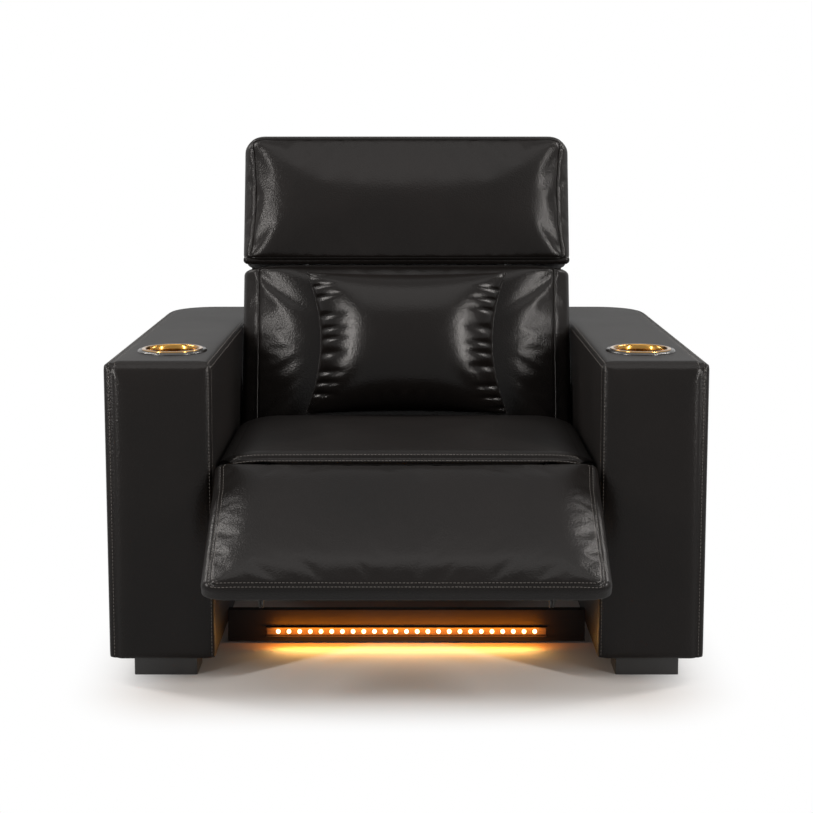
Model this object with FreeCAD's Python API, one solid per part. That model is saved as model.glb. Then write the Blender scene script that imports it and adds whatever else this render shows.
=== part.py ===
import FreeCAD, Part
import math
import os

# Cinema recliner seat: two box arms, a seat with a raisable footrest, a reclining back with a tilting
# headrest, a loose lumbar pillow and an LED strip on the apron under the seat.
# While it is built, X is across the seat, Y runs from the arms' front faces to the rear and Z is up from
# the floor. The last lines move everything so that the origin lies in the middle of its floor area.
# "left" is the sitter's left, which is +X.

# Driving dimensions, in millimetres and degrees

# Arms
seat_gap = 669.0
arm_width = 186.0
arm_length = 870.0
arm_top = 568.0
arm_pad = 12.0
arm_outer_pad = 15.5
arm_top_seam = 13.5
arm_shoulder_drop = 43.0
arm_bottom_round = 24.0
arm_rear_corner = 104.0
arm_box_corner = 70.0
arm_box_wall = 12.0
arm_base_board = 15.0
base_board_inset = 2.0

# Cup holders
cup_bore_radius = 46.0
cup_wall = 1.2
cup_depth = 68.0
cup_lip_radius = 54.5
cup_lip_thickness = 2.0
cup_ring_radius = 62.0
cup_ring_thickness = 3.5
cup_ring_round = 2.1
cup_play = 0.3
cup_from_front = 144.0
cup_from_gap_side = 84.5

# Feet
foot_width = 112.0
foot_depth = 70.0
foot_height = 45.0
foot_front_setback = 51.0
foot_rear_setback = 51.0
foot_from_gap_side = 36.5
foot_edge_round = 3.0
foot_screw_radius = 4.0
foot_screw_head_radius = 8.0
foot_screw_head_height = 5.0
foot_screw_recess = 8.0
foot_screw_bite = 12.0
foot_screw_play = 1.0

# Seat deck and cushion
deck_thickness = 18.0
deck_top = 298.0
deck_front = 95.0
deck_rear = 400.0
cushion_side_gap = 3.5
seat_top = 404.0
seat_crown = 9.0
seat_lip_front = 26.0
seat_lip_bottom = 384.0
seat_body_front = 66.0
seat_side_drop = 18.0
seat_side_reach = 70.0
seat_front_round = 16.0
seat_rear_round = 14.0
seat_back_gap = 3.0
seat_slot_length = 40.0

# Footrest, hinged at the front of the seat
footrest_slope_angle = 31.0
footrest_hinge_y = 30.0
footrest_hinge_z = 372.0
footrest_rear_gap = 12.0
footrest_length = 290.0
footrest_face = 29.0
footrest_pad = 40.0
footrest_crown = 5.0
footrest_edge_round = 14.0
footrest_side_gap = 4.5
footrest_board_thickness = 12.0
footrest_board_margin = 28.0
footrest_draw_in = 6.0

# Footrest linkage: a parallelogram of footrest bracket, crank and drive link
link_plane = 252.0
link_thickness = 3.0
link_end_radius = 12.0
link_pin_radius = 5.0
link_play = 0.05
link_side_gap = 1.5
drive_pin_end = 1.0
bracket_reach = 110.0
bracket_depth = 50.0
torque_axis_y = 100.0
torque_axis_z = 240.0
torque_tube_radius = 14.0
torque_tube_wall = 2.5
hinge_ear_radius = 9.0
hinge_ear_thickness = 4.0
hinge_ear_foot = 28.0
hinge_ear_waist = 42.0
bearing_ear_margin = 8.0
bearing_ear_length = 30.0
bracket_foot = 50.0
bracket_foot_rise = 7.0
bracket_shoulder = 40.0

# Steel base
side_plate_thickness = 5.0
side_plate_low = 140.0
side_plate_front = 70.0
side_plate_rear = 700.0
side_plate_rear_height = 100.0
cross_tube_side = 30.0
cross_tube_wall = 2.0
cross_tube_low = 148.0
front_tube_y = 165.0
rear_tube_y = 640.0
arm_bolt_radius = 4.0
arm_bolt_head_radius = 7.0
arm_bolt_head_height = 4.5
arm_bolt_rows = (130.0, 390.0, 670.0)
arm_bolt_z = 210.0
pivot_ear_margin = 14.0

# Linear actuators
lever_radius = 45.0
back_lever_radius = 80.0
footrest_travel = 90.0
footrest_closed_angle = 59.0
recline_travel = 35.0
actuator_tube_side = 36.0
actuator_rod_radius = 8.0
actuator_can_radius = 24.0
yoke_thickness = 8.0
yoke_slack = 1.7
yoke_rim = 7.0
yoke_end_play = 0.6
yoke_neck = 5.0
rod_play = 0.3
gearbox_length = 70.0
gearbox_side_margin = 14.0
gearbox_height_margin = 4.0
actuator_can_length = 62.0
actuator_can_drop = 66.0
motor_foot_width = 30.0
motor_foot_rise = 15.0
lever_pin_end = 2.0
footrest_motor_front = 300.0
footrest_motor_standoff = 12.0
footrest_motor_bore = 160.0
footrest_rod_rear = 380.0
back_motor_rear = 480.0
back_motor_standoff = 20.0
back_motor_bore = 170.0
back_rod_front = 400.0
back_lever_flange = (25.0, 20.0)
back_lever_flange_thickness = 4.0
lever_side_gap = 1.5
lever_thickness = 6.0
footrest_motor_x = 64.0
back_motor_x = -100.0

# Back, leaning by back_lean and turning about a pivot behind its lower edge
back_lean = 16.0
back_foot_y = 412.0
back_foot_z = 330.0
back_height = 382.0
back_pad = 125.0
back_crown = 10.0
back_side_round = 48.0
back_edge_round = 20.0
back_draw_in = 5.0
back_board_thickness = 15.0
back_rear_pad = 35.0
back_foot_gap = 5.0
board_side_margin = 9.0
cover_side_margin = 9.5
cover_crown = 4.0
cover_round = 14.0
cover_draw_in = 3.0
back_cover_low = 12.0
back_pivot_depth = 150.0
back_pivot_rise = 20.0
back_pivot_radius = 8.0
back_bracket_thickness = 4.0
back_bracket_height = 200.0
back_bracket_width = 43.0
back_bracket_tip_width = 15.0
back_bracket_neck = 60.0
back_bracket_gap = 1.0
back_bracket_eye_radius = 18.0
back_pin_play = 0.3

# Headrest, tilting forward on ratchet hinges in the covered roll
roll_depth = 32.0
roll_above_back = 9.0
roll_radius = 8.0
headrest_gap = 5.0
headrest_height = 263.0
headrest_pad = 125.0
headrest_side_round = 30.0
headrest_edge_round = 16.0
headrest_top_round = 30.0
headrest_crown = 12.0
ratchet_plane = 200.0
ratchet_thickness = 3.0
ratchet_eye_radius = 7.5
ratchet_strap = 7.0
ratchet_slot_play = 1.5
ratchet_slot_depth = 40.0
ratchet_side_room = 10.0
roll_end_margin = 6.0
roll_play = 0.5
roll_hinge_room = 9.5
headrest_draw_in = 6.0
headrest_board_margin = 12.0
headrest_cover_top_margin = 6.0
headrest_cover_top_round = 20.0
headrest_board_gap = 2.0

# Lumbar pillow
pillow_half_width = 198.0
pillow_waist = 29.0
pillow_height = 282.0
pillow_front_bulge = 74.0
pillow_edge_thickness = 3.0
pillow_depth = 27.0
pillow_rest_gap = 0.4
pillow_foot = 72.0

# Apron, LED strip and rear panel
apron_y = 215.0
apron_low = 8.0
apron_high = 68.0
apron_thickness = 18.0
panel_play = 0.2
led_pitch = 20.0
led_count = 25
led_height = 28.0
led_radius = 4.0
led_channel_depth = 10.0
led_channel_height = 18.0
led_channel_wall = 1.5
led_board_thickness = 1.6
led_board_width = 12.0
led_end_margin = 22.0
led_base_height = 1.5
rear_panel_setback = 28.0
rear_panel_thickness = 15.0
rear_panel_low = 60.0
rear_panel_high = 400.0

# Power supply and mains inlet
supply_size = (120.0, 120.0, 45.0)
supply_x = 130.0
supply_y = 220.0
inlet_x = -200.0
inlet_z = 110.0
inlet_width = 48.0
inlet_height = 28.0
inlet_depth = 22.0
inlet_flange = 5.0
inlet_wall = 2.0
inlet_mouth_side = 12.0
inlet_mouth_edge = 4.0
inlet_blade_pitch = 7.0
inlet_blade_half = (1.0, 3.0)
inlet_blade_setback = 5.0

# Control panel on the outer side of the right arm
control_y = 230.0
control_z = 430.0
control_length = 132.0
control_height = 40.0
control_thickness = 4.0
control_sunk = 3.0
control_rim = 8.0
button_names = (
    "footrest_raise_button", "footrest_lower_button", "back_recline_button", "back_raise_button",
)
button_pitch = 29.0
button_radius = 9.0
button_play = 0.3
button_proud = 3.0
button_travel = 2.0
button_flange = 1.5
button_flange_thickness = 2.0
button_edge_round = 1.2
control_pocket = 6.0

# How far a cutting shape runs past what it cuts, the least bulge of a crowned line and the least flat
# that stays between two rounded edges
overrun = 5.0
least_bulge = 0.2
least_flat = 1.0

# Derived places
half_gap = seat_gap / 2
arm_outer = half_gap + arm_width
cushion_half = half_gap - cushion_side_gap
deck_low = deck_top - deck_thickness
plate_inner = half_gap - side_plate_thickness
roll_rise = back_height + roll_above_back
headrest_low = back_height + headrest_gap
headrest_high = headrest_low + headrest_height
rear_panel_y = arm_length - rear_panel_setback
control_face = -arm_outer + control_sunk
control_back = control_face + control_thickness


class Frame2D:
    """A flat frame in the YZ plane: a point, a direction along it and a direction out of its face."""

    def __init__(self, y, z, along, outward):
        self.origin = (y, z)
        self.along = along
        self.outward = outward

    def at(self, x, u, v):
        y = self.origin[0] + u * self.along[0] + v * self.outward[0]
        z = self.origin[1] + u * self.along[1] + v * self.outward[1]
        return FreeCAD.Vector(x, y, z)


def turned(angle):
    """The two directions of a frame whose outward side leans down to the front by the angle."""
    slope = math.radians(angle)
    along = (-math.cos(slope), -math.sin(slope))
    outward = (-math.sin(slope), math.cos(slope))
    return along, outward


world = Frame2D(0, 0, (1, 0), (0, 1))
footrest_frame = Frame2D(footrest_hinge_y, footrest_hinge_z, *turned(footrest_slope_angle))
lean = math.radians(back_lean)
back_frame = Frame2D(back_foot_y, back_foot_z, (math.sin(lean), math.cos(lean)),
                     (-math.cos(lean), math.sin(lean)))


def block(x0, x1, y0, y1, z0, z1):
    """A box between two corners."""
    low = FreeCAD.Vector(min(x0, x1), min(y0, y1), min(z0, z1))
    return Part.makeBox(abs(x1 - x0), abs(y1 - y0), abs(z1 - z0), low)


def frame_block(frame, x0, x1, u0, u1, v0, v1):
    """A box whose sides follow a flat frame."""
    return plate(frame, x0, x1, [(u0, v0), (u1, v0), (u1, v1), (u0, v1)])


def pin(x0, x1, frame, u, v, radius):
    """A round pin along X at a point of a flat frame."""
    return Part.makeCylinder(radius, abs(x1 - x0), frame.at(min(x0, x1), u, v), FreeCAD.Vector(1, 0, 0))


def plate(frame, x0, x1, points):
    """A flat plate with straight edges, across X."""
    corners = [frame.at(min(x0, x1), u, v) for u, v in points]
    face = Part.Face(Part.makePolygon(corners + [corners[0]]))
    return face.extrude(FreeCAD.Vector(abs(x1 - x0), 0, 0))


def link(frame, x0, x1, ends, radius):
    """A flat link with round ends about two pivots."""
    (u0, v0), (u1, v1) = ends
    length = math.hypot(u1 - u0, v1 - v0)
    side = (-(v1 - v0) / length * radius, (u1 - u0) / length * radius)
    corners = [(u0 + side[0], v0 + side[1]), (u1 + side[0], v1 + side[1]),
               (u1 - side[0], v1 - side[1]), (u0 - side[0], v0 - side[1])]
    body = plate(frame, x0, x1, corners)
    for u, v in ends:
        body = body.fuse(pin(x0, x1, frame, u, v, radius))
    return body.removeSplitter()


def mirrored(shape):
    """The same piece on the other side of the seat."""
    return shape.mirror(FreeCAD.Vector(0, 0, 0), FreeCAD.Vector(1, 0, 0))


def edge_drop(distance, radius):
    """How far a rounded edge falls away at a distance from the side."""
    if distance >= radius:
        return 0.0
    return radius - math.sqrt(radius ** 2 - (radius - distance) ** 2)


def stations(half_width, radius):
    """Places across X where a padded piece is cut, closer together in its rounded sides."""
    near = [half_width - radius * part for part in (0.0, 0.08, 0.35, 1.0)]
    inner = [half_width * 0.5]
    right = near + inner
    return [-x for x in right] + [0.0] + right[::-1]


def crowned_pad(frame, half_width, u0, u1, back, face, crown, side_round, round_low, round_high,
                side_shrink):
    """A padded block: flat back, crowned face, rounded sides and rounded ends, drawn in at its sides."""
    wires = []
    for x in stations(half_width, side_round):
        fall = edge_drop(half_width - abs(x), side_round)
        share = 1 - (x / half_width) ** 2
        top = face - fall
        swell = crown * share
        draw_in = side_shrink * fall / side_round
        low = u0 + draw_in
        high = u1 - draw_in
        fit = min(1.0, (top - back) / (max(round_low, round_high) + least_flat))
        r_low = round_low * fit
        r_high = round_high * fit
        diagonal = 1 - math.sqrt(0.5)
        p1 = frame.at(x, low, back)
        p2 = frame.at(x, high, back)
        p3 = frame.at(x, high, top - r_high)
        p4 = frame.at(x, high - r_high * diagonal, top - r_high * diagonal)
        p5 = frame.at(x, high - r_high, top)
        p6 = frame.at(x, (low + high) / 2, top + swell + least_bulge)
        p7 = frame.at(x, low + r_low, top)
        p8 = frame.at(x, low + r_low * diagonal, top - r_low * diagonal)
        p9 = frame.at(x, low, top - r_low)
        edges = [
            Part.LineSegment(p1, p2).toShape(),
            Part.LineSegment(p2, p3).toShape(),
            Part.Arc(p3, p4, p5).toShape(),
            Part.Arc(p5, p6, p7).toShape(),
            Part.Arc(p7, p8, p9).toShape(),
            Part.LineSegment(p9, p1).toShape(),
        ]
        wires.append(Part.Wire(edges))
    return Part.makeLoft(wires, True, True)


def arm_outline():
    """The arm's cover seen from the front: flat inner face, soft outer shoulder and bottom edge."""
    z_low = foot_height
    seam_x = arm_outer - arm_top_seam
    shoulder = FreeCAD.Vector(arm_outer, 0, arm_top - arm_shoulder_drop)
    knee = FreeCAD.Vector(arm_outer - arm_top_seam * 0.22, 0, arm_top - arm_shoulder_drop * 0.34)
    seam = FreeCAD.Vector(seam_x, 0, arm_top)
    inner_top = FreeCAD.Vector(half_gap, 0, arm_top)
    inner_low = FreeCAD.Vector(half_gap, 0, z_low)
    turn = arm_bottom_round * (1 - math.sqrt(0.5))
    outer_low = FreeCAD.Vector(arm_outer - arm_bottom_round, 0, z_low)
    outer_turn = FreeCAD.Vector(arm_outer - turn, 0, z_low + turn)
    outer_side = FreeCAD.Vector(arm_outer, 0, z_low + arm_bottom_round)
    return Part.Wire([
        Part.LineSegment(inner_low, inner_top).toShape(),
        Part.LineSegment(inner_top, seam).toShape(),
        Part.Arc(seam, knee, shoulder).toShape(),
        Part.LineSegment(shoulder, outer_side).toShape(),
        Part.Arc(outer_side, outer_turn, outer_low).toShape(),
        Part.LineSegment(outer_low, inner_low).toShape(),
    ])


def corner_cutter(x_outer, y_rear, radius, z0, z1):
    """What a rounded rear outer corner takes off a block."""
    square = block(x_outer - radius, x_outer + radius, y_rear - radius, y_rear + radius, z0, z1)
    round_part = Part.makeCylinder(radius, z1 - z0, FreeCAD.Vector(x_outer - radius, y_rear - radius, z0))
    return square.cut(round_part)


def arm_box_outside():
    """The outside of the plywood box that carries an arm's cover."""
    z0 = foot_height + arm_base_board
    z1 = arm_top - arm_pad
    x1 = arm_outer - arm_outer_pad
    y1 = arm_length - arm_pad
    box = block(half_gap + arm_pad, x1, arm_pad, y1, z0, z1)
    return box.cut(corner_cutter(x1, y1, arm_box_corner, z0, z1))


def arm_base_outside():
    """The board that closes an arm's box from below and carries the feet."""
    z0 = foot_height
    x1 = arm_outer - arm_bottom_round - base_board_inset
    y1 = arm_length - arm_pad
    board = block(half_gap + arm_pad, x1, arm_pad, y1, z0, z0 + arm_base_board)
    return board.cut(corner_cutter(x1, y1, arm_box_corner, z0, z0 + arm_base_board))


cup_x = half_gap + cup_from_gap_side
cup_hole_radius = cup_bore_radius + cup_wall + cup_play
ring_top = arm_top + cup_ring_thickness
plate_bolts = [(y, arm_bolt_z) for y in arm_bolt_rows]
foot_x = half_gap + foot_from_gap_side
foot_centres = {
    "front": foot_front_setback + foot_depth / 2,
    "rear": arm_length - foot_rear_setback - foot_depth / 2,
}


def cup_hole(radius):
    """The hole that a cup holder sits in."""
    low = FreeCAD.Vector(cup_x, cup_from_front, arm_top - cup_depth)
    return Part.makeCylinder(radius, cup_depth + arm_pad, low)


def arm_bolt_holes(radius):
    """Holes for the bolts that hold a side plate to an arm."""
    far = half_gap + arm_pad + arm_box_wall + overrun
    holes = [pin(plate_inner - overrun, far, world, y, z, radius) for y, z in plate_bolts]
    return Part.Compound(holes)


def arm_pieces():
    """Left arm: cover of five padded panels, plywood box and base board."""
    outline = arm_outline()
    cover = Part.Face(outline).extrude(FreeCAD.Vector(0, arm_length, 0))
    cover = cover.cut(corner_cutter(arm_outer, arm_length, arm_rear_corner, foot_height, arm_top))
    cover = cover.cut(arm_box_outside()).cut(arm_base_outside())
    cover = cover.cut(cup_hole(cup_hole_radius)).cut(arm_bolt_holes(arm_bolt_radius))
    top_z = arm_top - arm_pad
    far = arm_outer + overrun
    x_in = half_gap + arm_pad
    y_rear = arm_length - arm_pad
    y_corner = arm_length - arm_rear_corner
    cuts = [
        block(half_gap, far, 0, arm_pad, 0, arm_top),
        block(half_gap, x_in, arm_pad, arm_length, 0, arm_top),
        block(x_in, far, arm_pad, arm_length, top_z, arm_top),
        block(x_in, far, y_corner, arm_length, 0, top_z),
        block(x_in, far, arm_pad, y_corner, 0, top_z),
    ]
    panels = Part.Compound([solid for cut in cuts for solid in cover.common(cut).Solids])

    z0 = foot_height + arm_base_board
    wall = arm_box_wall
    inside = block(half_gap + arm_pad + wall, arm_outer - arm_outer_pad - wall, arm_pad + wall,
                   arm_length - arm_pad - wall, z0, top_z - wall)
    inner_corner = corner_cutter(arm_outer - arm_outer_pad - wall, y_rear - wall, arm_box_corner - wall,
                                 z0, top_z)
    box = arm_box_outside().cut(inside.cut(inner_corner))
    box = box.cut(cup_hole(cup_hole_radius)).cut(arm_bolt_holes(arm_bolt_radius))

    base = arm_base_outside()
    for y in foot_centres.values():
        base = base.cut(foot_screw_hole(y, foot_screw_radius))
    return {"arm_cover": panels, "arm_box": box, "arm_base_board": base}


def foot_screw_hole(y, radius):
    """The straight hole of a foot's screw."""
    x = foot_x + foot_width / 2
    return Part.makeCylinder(radius, foot_height + foot_screw_bite, FreeCAD.Vector(x, y, 0))


def foot(y):
    """A square block foot with a sunk hole for its screw."""
    y0 = y - foot_depth / 2
    body = block(foot_x, foot_x + foot_width, y0, y0 + foot_depth, 0, foot_height)
    edges = [edge for edge in body.Edges if abs(edge.Vertexes[0].Z - edge.Vertexes[-1].Z) > 1]
    body = body.makeFillet(foot_edge_round, edges)
    sink = Part.makeCylinder(foot_screw_head_radius + foot_screw_play, foot_screw_recess + foot_screw_head_height,
                             FreeCAD.Vector(foot_x + foot_width / 2, y, 0))
    return body.cut(foot_screw_hole(y, foot_screw_radius)).cut(sink)


def foot_screw(y):
    """A foot's screw: a flat head under the foot and a shank up into the base board."""
    place = FreeCAD.Vector(foot_x + foot_width / 2, y, foot_screw_recess)
    head = Part.makeCylinder(foot_screw_head_radius, foot_screw_head_height, place)
    shank = Part.makeCylinder(foot_screw_radius, foot_height + foot_screw_bite - foot_screw_recess, place)
    return head.fuse(shank).removeSplitter()


def arm_bolts():
    """Three bolts from the side plate into the arm's box."""
    bolts = []
    for y, z in plate_bolts:
        head = pin(plate_inner - arm_bolt_head_height, plate_inner, world, y, z, arm_bolt_head_radius)
        shank = pin(plate_inner - arm_bolt_head_height / 2, half_gap + arm_pad + arm_box_wall, world, y, z,
                    arm_bolt_radius)
        bolts.append(head.fuse(shank).removeSplitter())
    return Part.Compound(bolts)


def cup_holder():
    """Spun cup with a flat lip that rests on the trim ring."""
    z0 = arm_top - cup_depth + cup_wall
    centre = FreeCAD.Vector(cup_x, cup_from_front, 0)
    high = ring_top - z0 + cup_wall
    under = centre + FreeCAD.Vector(0, 0, z0 - cup_wall)
    floor = centre + FreeCAD.Vector(0, 0, z0)
    rim = centre + FreeCAD.Vector(0, 0, ring_top)
    outside = Part.makeCylinder(cup_bore_radius + cup_wall, high, under)
    lip = Part.makeCylinder(cup_lip_radius, cup_lip_thickness, rim)
    inside = Part.makeCylinder(cup_bore_radius, high + cup_lip_thickness, floor)
    return outside.fuse(lip).cut(inside).removeSplitter()


def cup_ring():
    """Dark trim ring between the arm's leather and the cup's lip."""
    base = FreeCAD.Vector(cup_x, cup_from_front, arm_top)
    ring = Part.makeCylinder(cup_ring_radius, cup_ring_thickness, base)
    rims = [edge for edge in ring.Edges if len(edge.Vertexes) == 1]
    top_edge = [edge for edge in rims if edge.Vertexes[0].Z > arm_top + cup_ring_thickness / 2]
    ring = ring.makeFillet(cup_ring_round, top_edge)
    return ring.cut(Part.makeCylinder(cup_hole_radius, cup_ring_thickness, base))


def side_plate():
    """Steel plate on the arm's inner face: carries the deck, the cross tubes and the back's pivot."""
    pivot = (-back_pivot_depth, back_pivot_rise)
    x0 = plate_inner
    x1 = half_gap
    body = block(x0, x1, side_plate_front, deck_rear, side_plate_low, deck_low)
    rear_high = side_plate_low + side_plate_rear_height
    rear = block(x0, x1, deck_rear, side_plate_rear, side_plate_low, rear_high)
    pivot_place = back_frame.at(0, pivot[1], pivot[0])
    ear_end = (pivot_place.y, side_plate_low + side_plate_rear_height / 2)
    ear = link(world, x0, x1, [(pivot_place.y, pivot_place.z), ear_end], back_pivot_radius + pivot_ear_margin)
    body = body.fuse(rear).fuse(ear).removeSplitter()
    body = body.cut(pin(x0, x1, back_frame, pivot[1], pivot[0], back_pivot_radius + link_play))
    return body.cut(arm_bolt_holes(arm_bolt_radius))


def cross_tube(y):
    """Square steel tube between the side plates."""
    inner = cross_tube_side - 2 * cross_tube_wall
    outside = block(-plate_inner, plate_inner, y, y + cross_tube_side,
                    cross_tube_low, cross_tube_low + cross_tube_side)
    bore = block(-plate_inner, plate_inner, y + cross_tube_wall, y + cross_tube_wall + inner,
                 cross_tube_low + cross_tube_wall, cross_tube_low + cross_tube_wall + inner)
    return outside.cut(bore)


def seat_cushion():
    """Foam seat in leather: crowned top, rounded sides, a lip over the footrest hinge, slots for its ears."""
    wires = []
    rear_low = back_foot_y - (back_foot_z - deck_top) * math.tan(lean) - seat_back_gap
    for x in stations(cushion_half, seat_side_reach):
        fall = edge_drop(cushion_half - abs(x), seat_side_reach) * seat_side_drop / seat_side_reach
        share = 1 - (x / cushion_half) ** 2
        top = seat_top - fall
        rear_top = rear_low + (top - deck_top) * math.tan(lean) + (seat_top - top) * 0.2
        fit = (top - seat_lip_bottom) / (seat_top - seat_lip_bottom)
        front_round = seat_front_round * fit
        diagonal = 1 - math.sqrt(0.5)
        points = [
            (rear_low, deck_top),
            (seat_body_front, deck_top),
            (seat_body_front, seat_lip_bottom),
            (seat_lip_front, seat_lip_bottom),
            (seat_lip_front, top - front_round),
            (seat_lip_front + front_round * diagonal, top - front_round * diagonal),
            (seat_lip_front + front_round, top),
            ((seat_lip_front + rear_top) / 2, top + seat_crown * share + least_bulge),
            (rear_top - seat_rear_round, top),
            (rear_top - seat_rear_round * diagonal, top - seat_rear_round * diagonal),
            (rear_top, top - seat_rear_round),
        ]
        p = [FreeCAD.Vector(x, y, z) for y, z in points]
        wires.append(Part.Wire([
            Part.LineSegment(p[0], p[1]).toShape(),
            Part.LineSegment(p[1], p[2]).toShape(),
            Part.LineSegment(p[2], p[3]).toShape(),
            Part.LineSegment(p[3], p[4]).toShape(),
            Part.Arc(p[4], p[5], p[6]).toShape(),
            Part.Arc(p[6], p[7], p[8]).toShape(),
            Part.Arc(p[8], p[9], p[10]).toShape(),
            Part.LineSegment(p[10], p[0]).toShape(),
        ]))
    cushion = Part.makeLoft(wires, True, True)
    for side in (-1, 1):
        x0 = side * (ear_plane - hinge_ear_thickness)
        x1 = side * (drive_link_plane + link_thickness * 1.5)
        slot_rear = deck_front + seat_slot_length
        cushion = cushion.cut(block(x0, x1, seat_body_front, slot_rear, deck_top, seat_lip_bottom))
    return cushion


ear_plane = link_plane - link_thickness / 2 - link_side_gap - hinge_ear_thickness / 2
drive_link_plane = link_plane + link_thickness + link_side_gap
bracket_pin = (bracket_reach, -bracket_depth)


def hinge_ear():
    """Steel ear on the deck that carries one end of the footrest's hinge."""
    x0 = ear_plane - hinge_ear_thickness / 2
    x1 = ear_plane + hinge_ear_thickness / 2
    y = footrest_hinge_y
    z = footrest_hinge_z
    r = hinge_ear_radius
    front = deck_front + link_thickness
    rear = front + hinge_ear_foot
    arm = plate(world, x0, x1, [
        (y, z + r), (deck_front - r, z + r), (rear, z - hinge_ear_waist), (rear, deck_top),
        (front, deck_top), (front, z - hinge_ear_waist - r), (front - hinge_ear_foot, z - r), (y, z - r)])
    ear = arm.fuse(pin(x0, x1, world, y, z, r)).removeSplitter()
    return ear.cut(pin(x0, x1, world, y, z, link_pin_radius + link_play))


def bearing_ear():
    """Steel ear under the deck that carries one end of the torque tube."""
    x0 = ear_plane - hinge_ear_thickness / 2
    x1 = ear_plane + hinge_ear_thickness / 2
    y = torque_axis_y
    z = torque_axis_z
    r = torque_tube_radius + bearing_ear_margin
    stem = block(x0, x1, max(y - r, deck_front), y + r + bearing_ear_length, z, deck_low)
    ear = stem.fuse(pin(x0, x1, world, y, z, r)).removeSplitter()
    return ear.cut(pin(x0, x1, world, y, z, torque_tube_radius + link_play))


def footrest_cushion():
    """Padded leather face of the footrest."""
    half = half_gap - footrest_side_gap
    back_face = footrest_face - footrest_pad
    return crowned_pad(footrest_frame, half, footrest_rear_gap, footrest_length, back_face,
                       footrest_face - footrest_crown, footrest_crown, footrest_edge_round,
                       footrest_draw_in, footrest_edge_round, footrest_draw_in)


def footrest_board():
    """Plywood board under the footrest's padding."""
    half = half_gap - footrest_side_gap - footrest_board_margin
    back_face = footrest_face - footrest_pad
    return frame_block(footrest_frame, -half, half, footrest_rear_gap, footrest_length - footrest_board_margin,
                       back_face - footrest_board_thickness, back_face)


def footrest_bracket():
    """Steel bracket under the footrest's board with the hinge pin and the pin of the drive link."""
    x0 = link_plane - link_thickness / 2
    x1 = link_plane + link_thickness / 2
    under = footrest_face - footrest_pad - footrest_board_thickness
    u, v = bracket_pin
    body = plate(footrest_frame, x0, x1, [
        (-hinge_ear_radius, 0), (-hinge_ear_radius, under - bracket_foot_rise),
        (u - link_end_radius * 1.5, v - link_end_radius * 0.7), (u, v - link_end_radius),
        (u + link_end_radius, v),
        (u + bracket_shoulder, v + link_end_radius * 0.8), (u + bracket_foot, under), (hinge_ear_radius, under),
        (hinge_ear_radius, 0)])
    body = body.fuse(pin(x0, x1, footrest_frame, 0, 0, hinge_ear_radius))
    body = body.fuse(pin(x0, x1, footrest_frame, u, v, link_end_radius))
    hinge = pin(ear_plane - hinge_ear_thickness / 2, x0, footrest_frame, 0, 0, link_pin_radius)
    drive = pin(x1, drive_link_plane + link_thickness / 2 + drive_pin_end, footrest_frame, u, v, link_pin_radius)
    return body.fuse(hinge).fuse(drive).removeSplitter()


def crank_end():
    """Where the crank's pin lies in the YZ plane, the bracket's own arm moved to the torque tube's axis."""
    place = footrest_frame.at(0, *bracket_pin)
    return (torque_axis_y + place.y - footrest_hinge_y, torque_axis_z + place.z - footrest_hinge_z)


def torque_tube():
    """Cross tube that turns in the bearing ears, with both cranks and the motor's lever welded on."""
    half = link_plane + link_thickness / 2
    y = torque_axis_y
    z = torque_axis_z
    body = pin(-half, half, world, y, z, torque_tube_radius)
    end = crank_end()
    for side in (-1, 1):
        inner = side * (link_plane - link_thickness / 2)
        outer = side * (link_plane + link_thickness / 2)
        tip = side * (drive_link_plane + link_thickness / 2 + drive_pin_end)
        crank = link(world, inner, outer, [(y, z), end], link_end_radius)
        body = body.fuse(crank).fuse(pin(outer, tip, world, end[0], end[1], link_pin_radius))
    angle = math.radians(footrest_closed_angle - footrest_travel / 2)
    lever_end = (y - lever_radius * math.sin(angle), z - lever_radius * math.cos(angle))
    x0 = footrest_motor_x - actuator_rod_radius - lever_side_gap
    lever = link(world, x0 - lever_thickness, x0, [(y, z), lever_end], link_end_radius)
    tip = footrest_motor_x + yoke_thickness / 2 + lever_pin_end
    body = body.fuse(lever).fuse(pin(x0, tip, world, lever_end[0], lever_end[1], link_pin_radius))
    return body.removeSplitter().cut(pin(-half, half, world, y, z, torque_tube_radius - torque_tube_wall))


def drive_link():
    """Flat link from the crank to the footrest's bracket."""
    x0 = drive_link_plane - link_thickness / 2
    top = footrest_frame.at(0, *bracket_pin)
    ends = [crank_end(), (top.y, top.z)]
    body = link(world, x0, x0 + link_thickness, ends, link_end_radius)
    for y, z in ends:
        body = body.cut(pin(x0, x0 + link_thickness, world, y, z, link_pin_radius + link_play))
    return body


def yoke_height(radius, half_travel):
    """Mean distance of a lever's pin below its axis while it swings by half_travel to each side."""
    return radius * (1 + math.cos(math.radians(half_travel))) / 2


def push_rod(x, y_pin, z_axis, radius, half_travel, rear_end):
    """Actuator rod with a slotted yoke that holds a lever's pin."""
    rise = radius * (1 - math.cos(math.radians(half_travel))) / 2
    slot_half_height = rise + link_pin_radius + yoke_end_play
    slot_half_width = link_pin_radius + yoke_slack
    toward = 1 if rear_end > y_pin else -1
    half_length = slot_half_width + yoke_rim
    half_height = slot_half_height + yoke_rim
    yoke = block(x - yoke_thickness / 2, x + yoke_thickness / 2, y_pin - half_length, y_pin + half_length,
                 z_axis - half_height, z_axis + half_height)
    slot = block(x - yoke_thickness, x + yoke_thickness, y_pin - slot_half_width, y_pin + slot_half_width,
                 z_axis - slot_half_height, z_axis + slot_half_height)
    start = y_pin + toward * (slot_half_width + yoke_neck)
    shaft = Part.makeCylinder(actuator_rod_radius, abs(rear_end - start), FreeCAD.Vector(x, start, z_axis),
                              FreeCAD.Vector(0, toward, 0))
    return yoke.cut(slot).fuse(shaft).removeSplitter()


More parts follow.
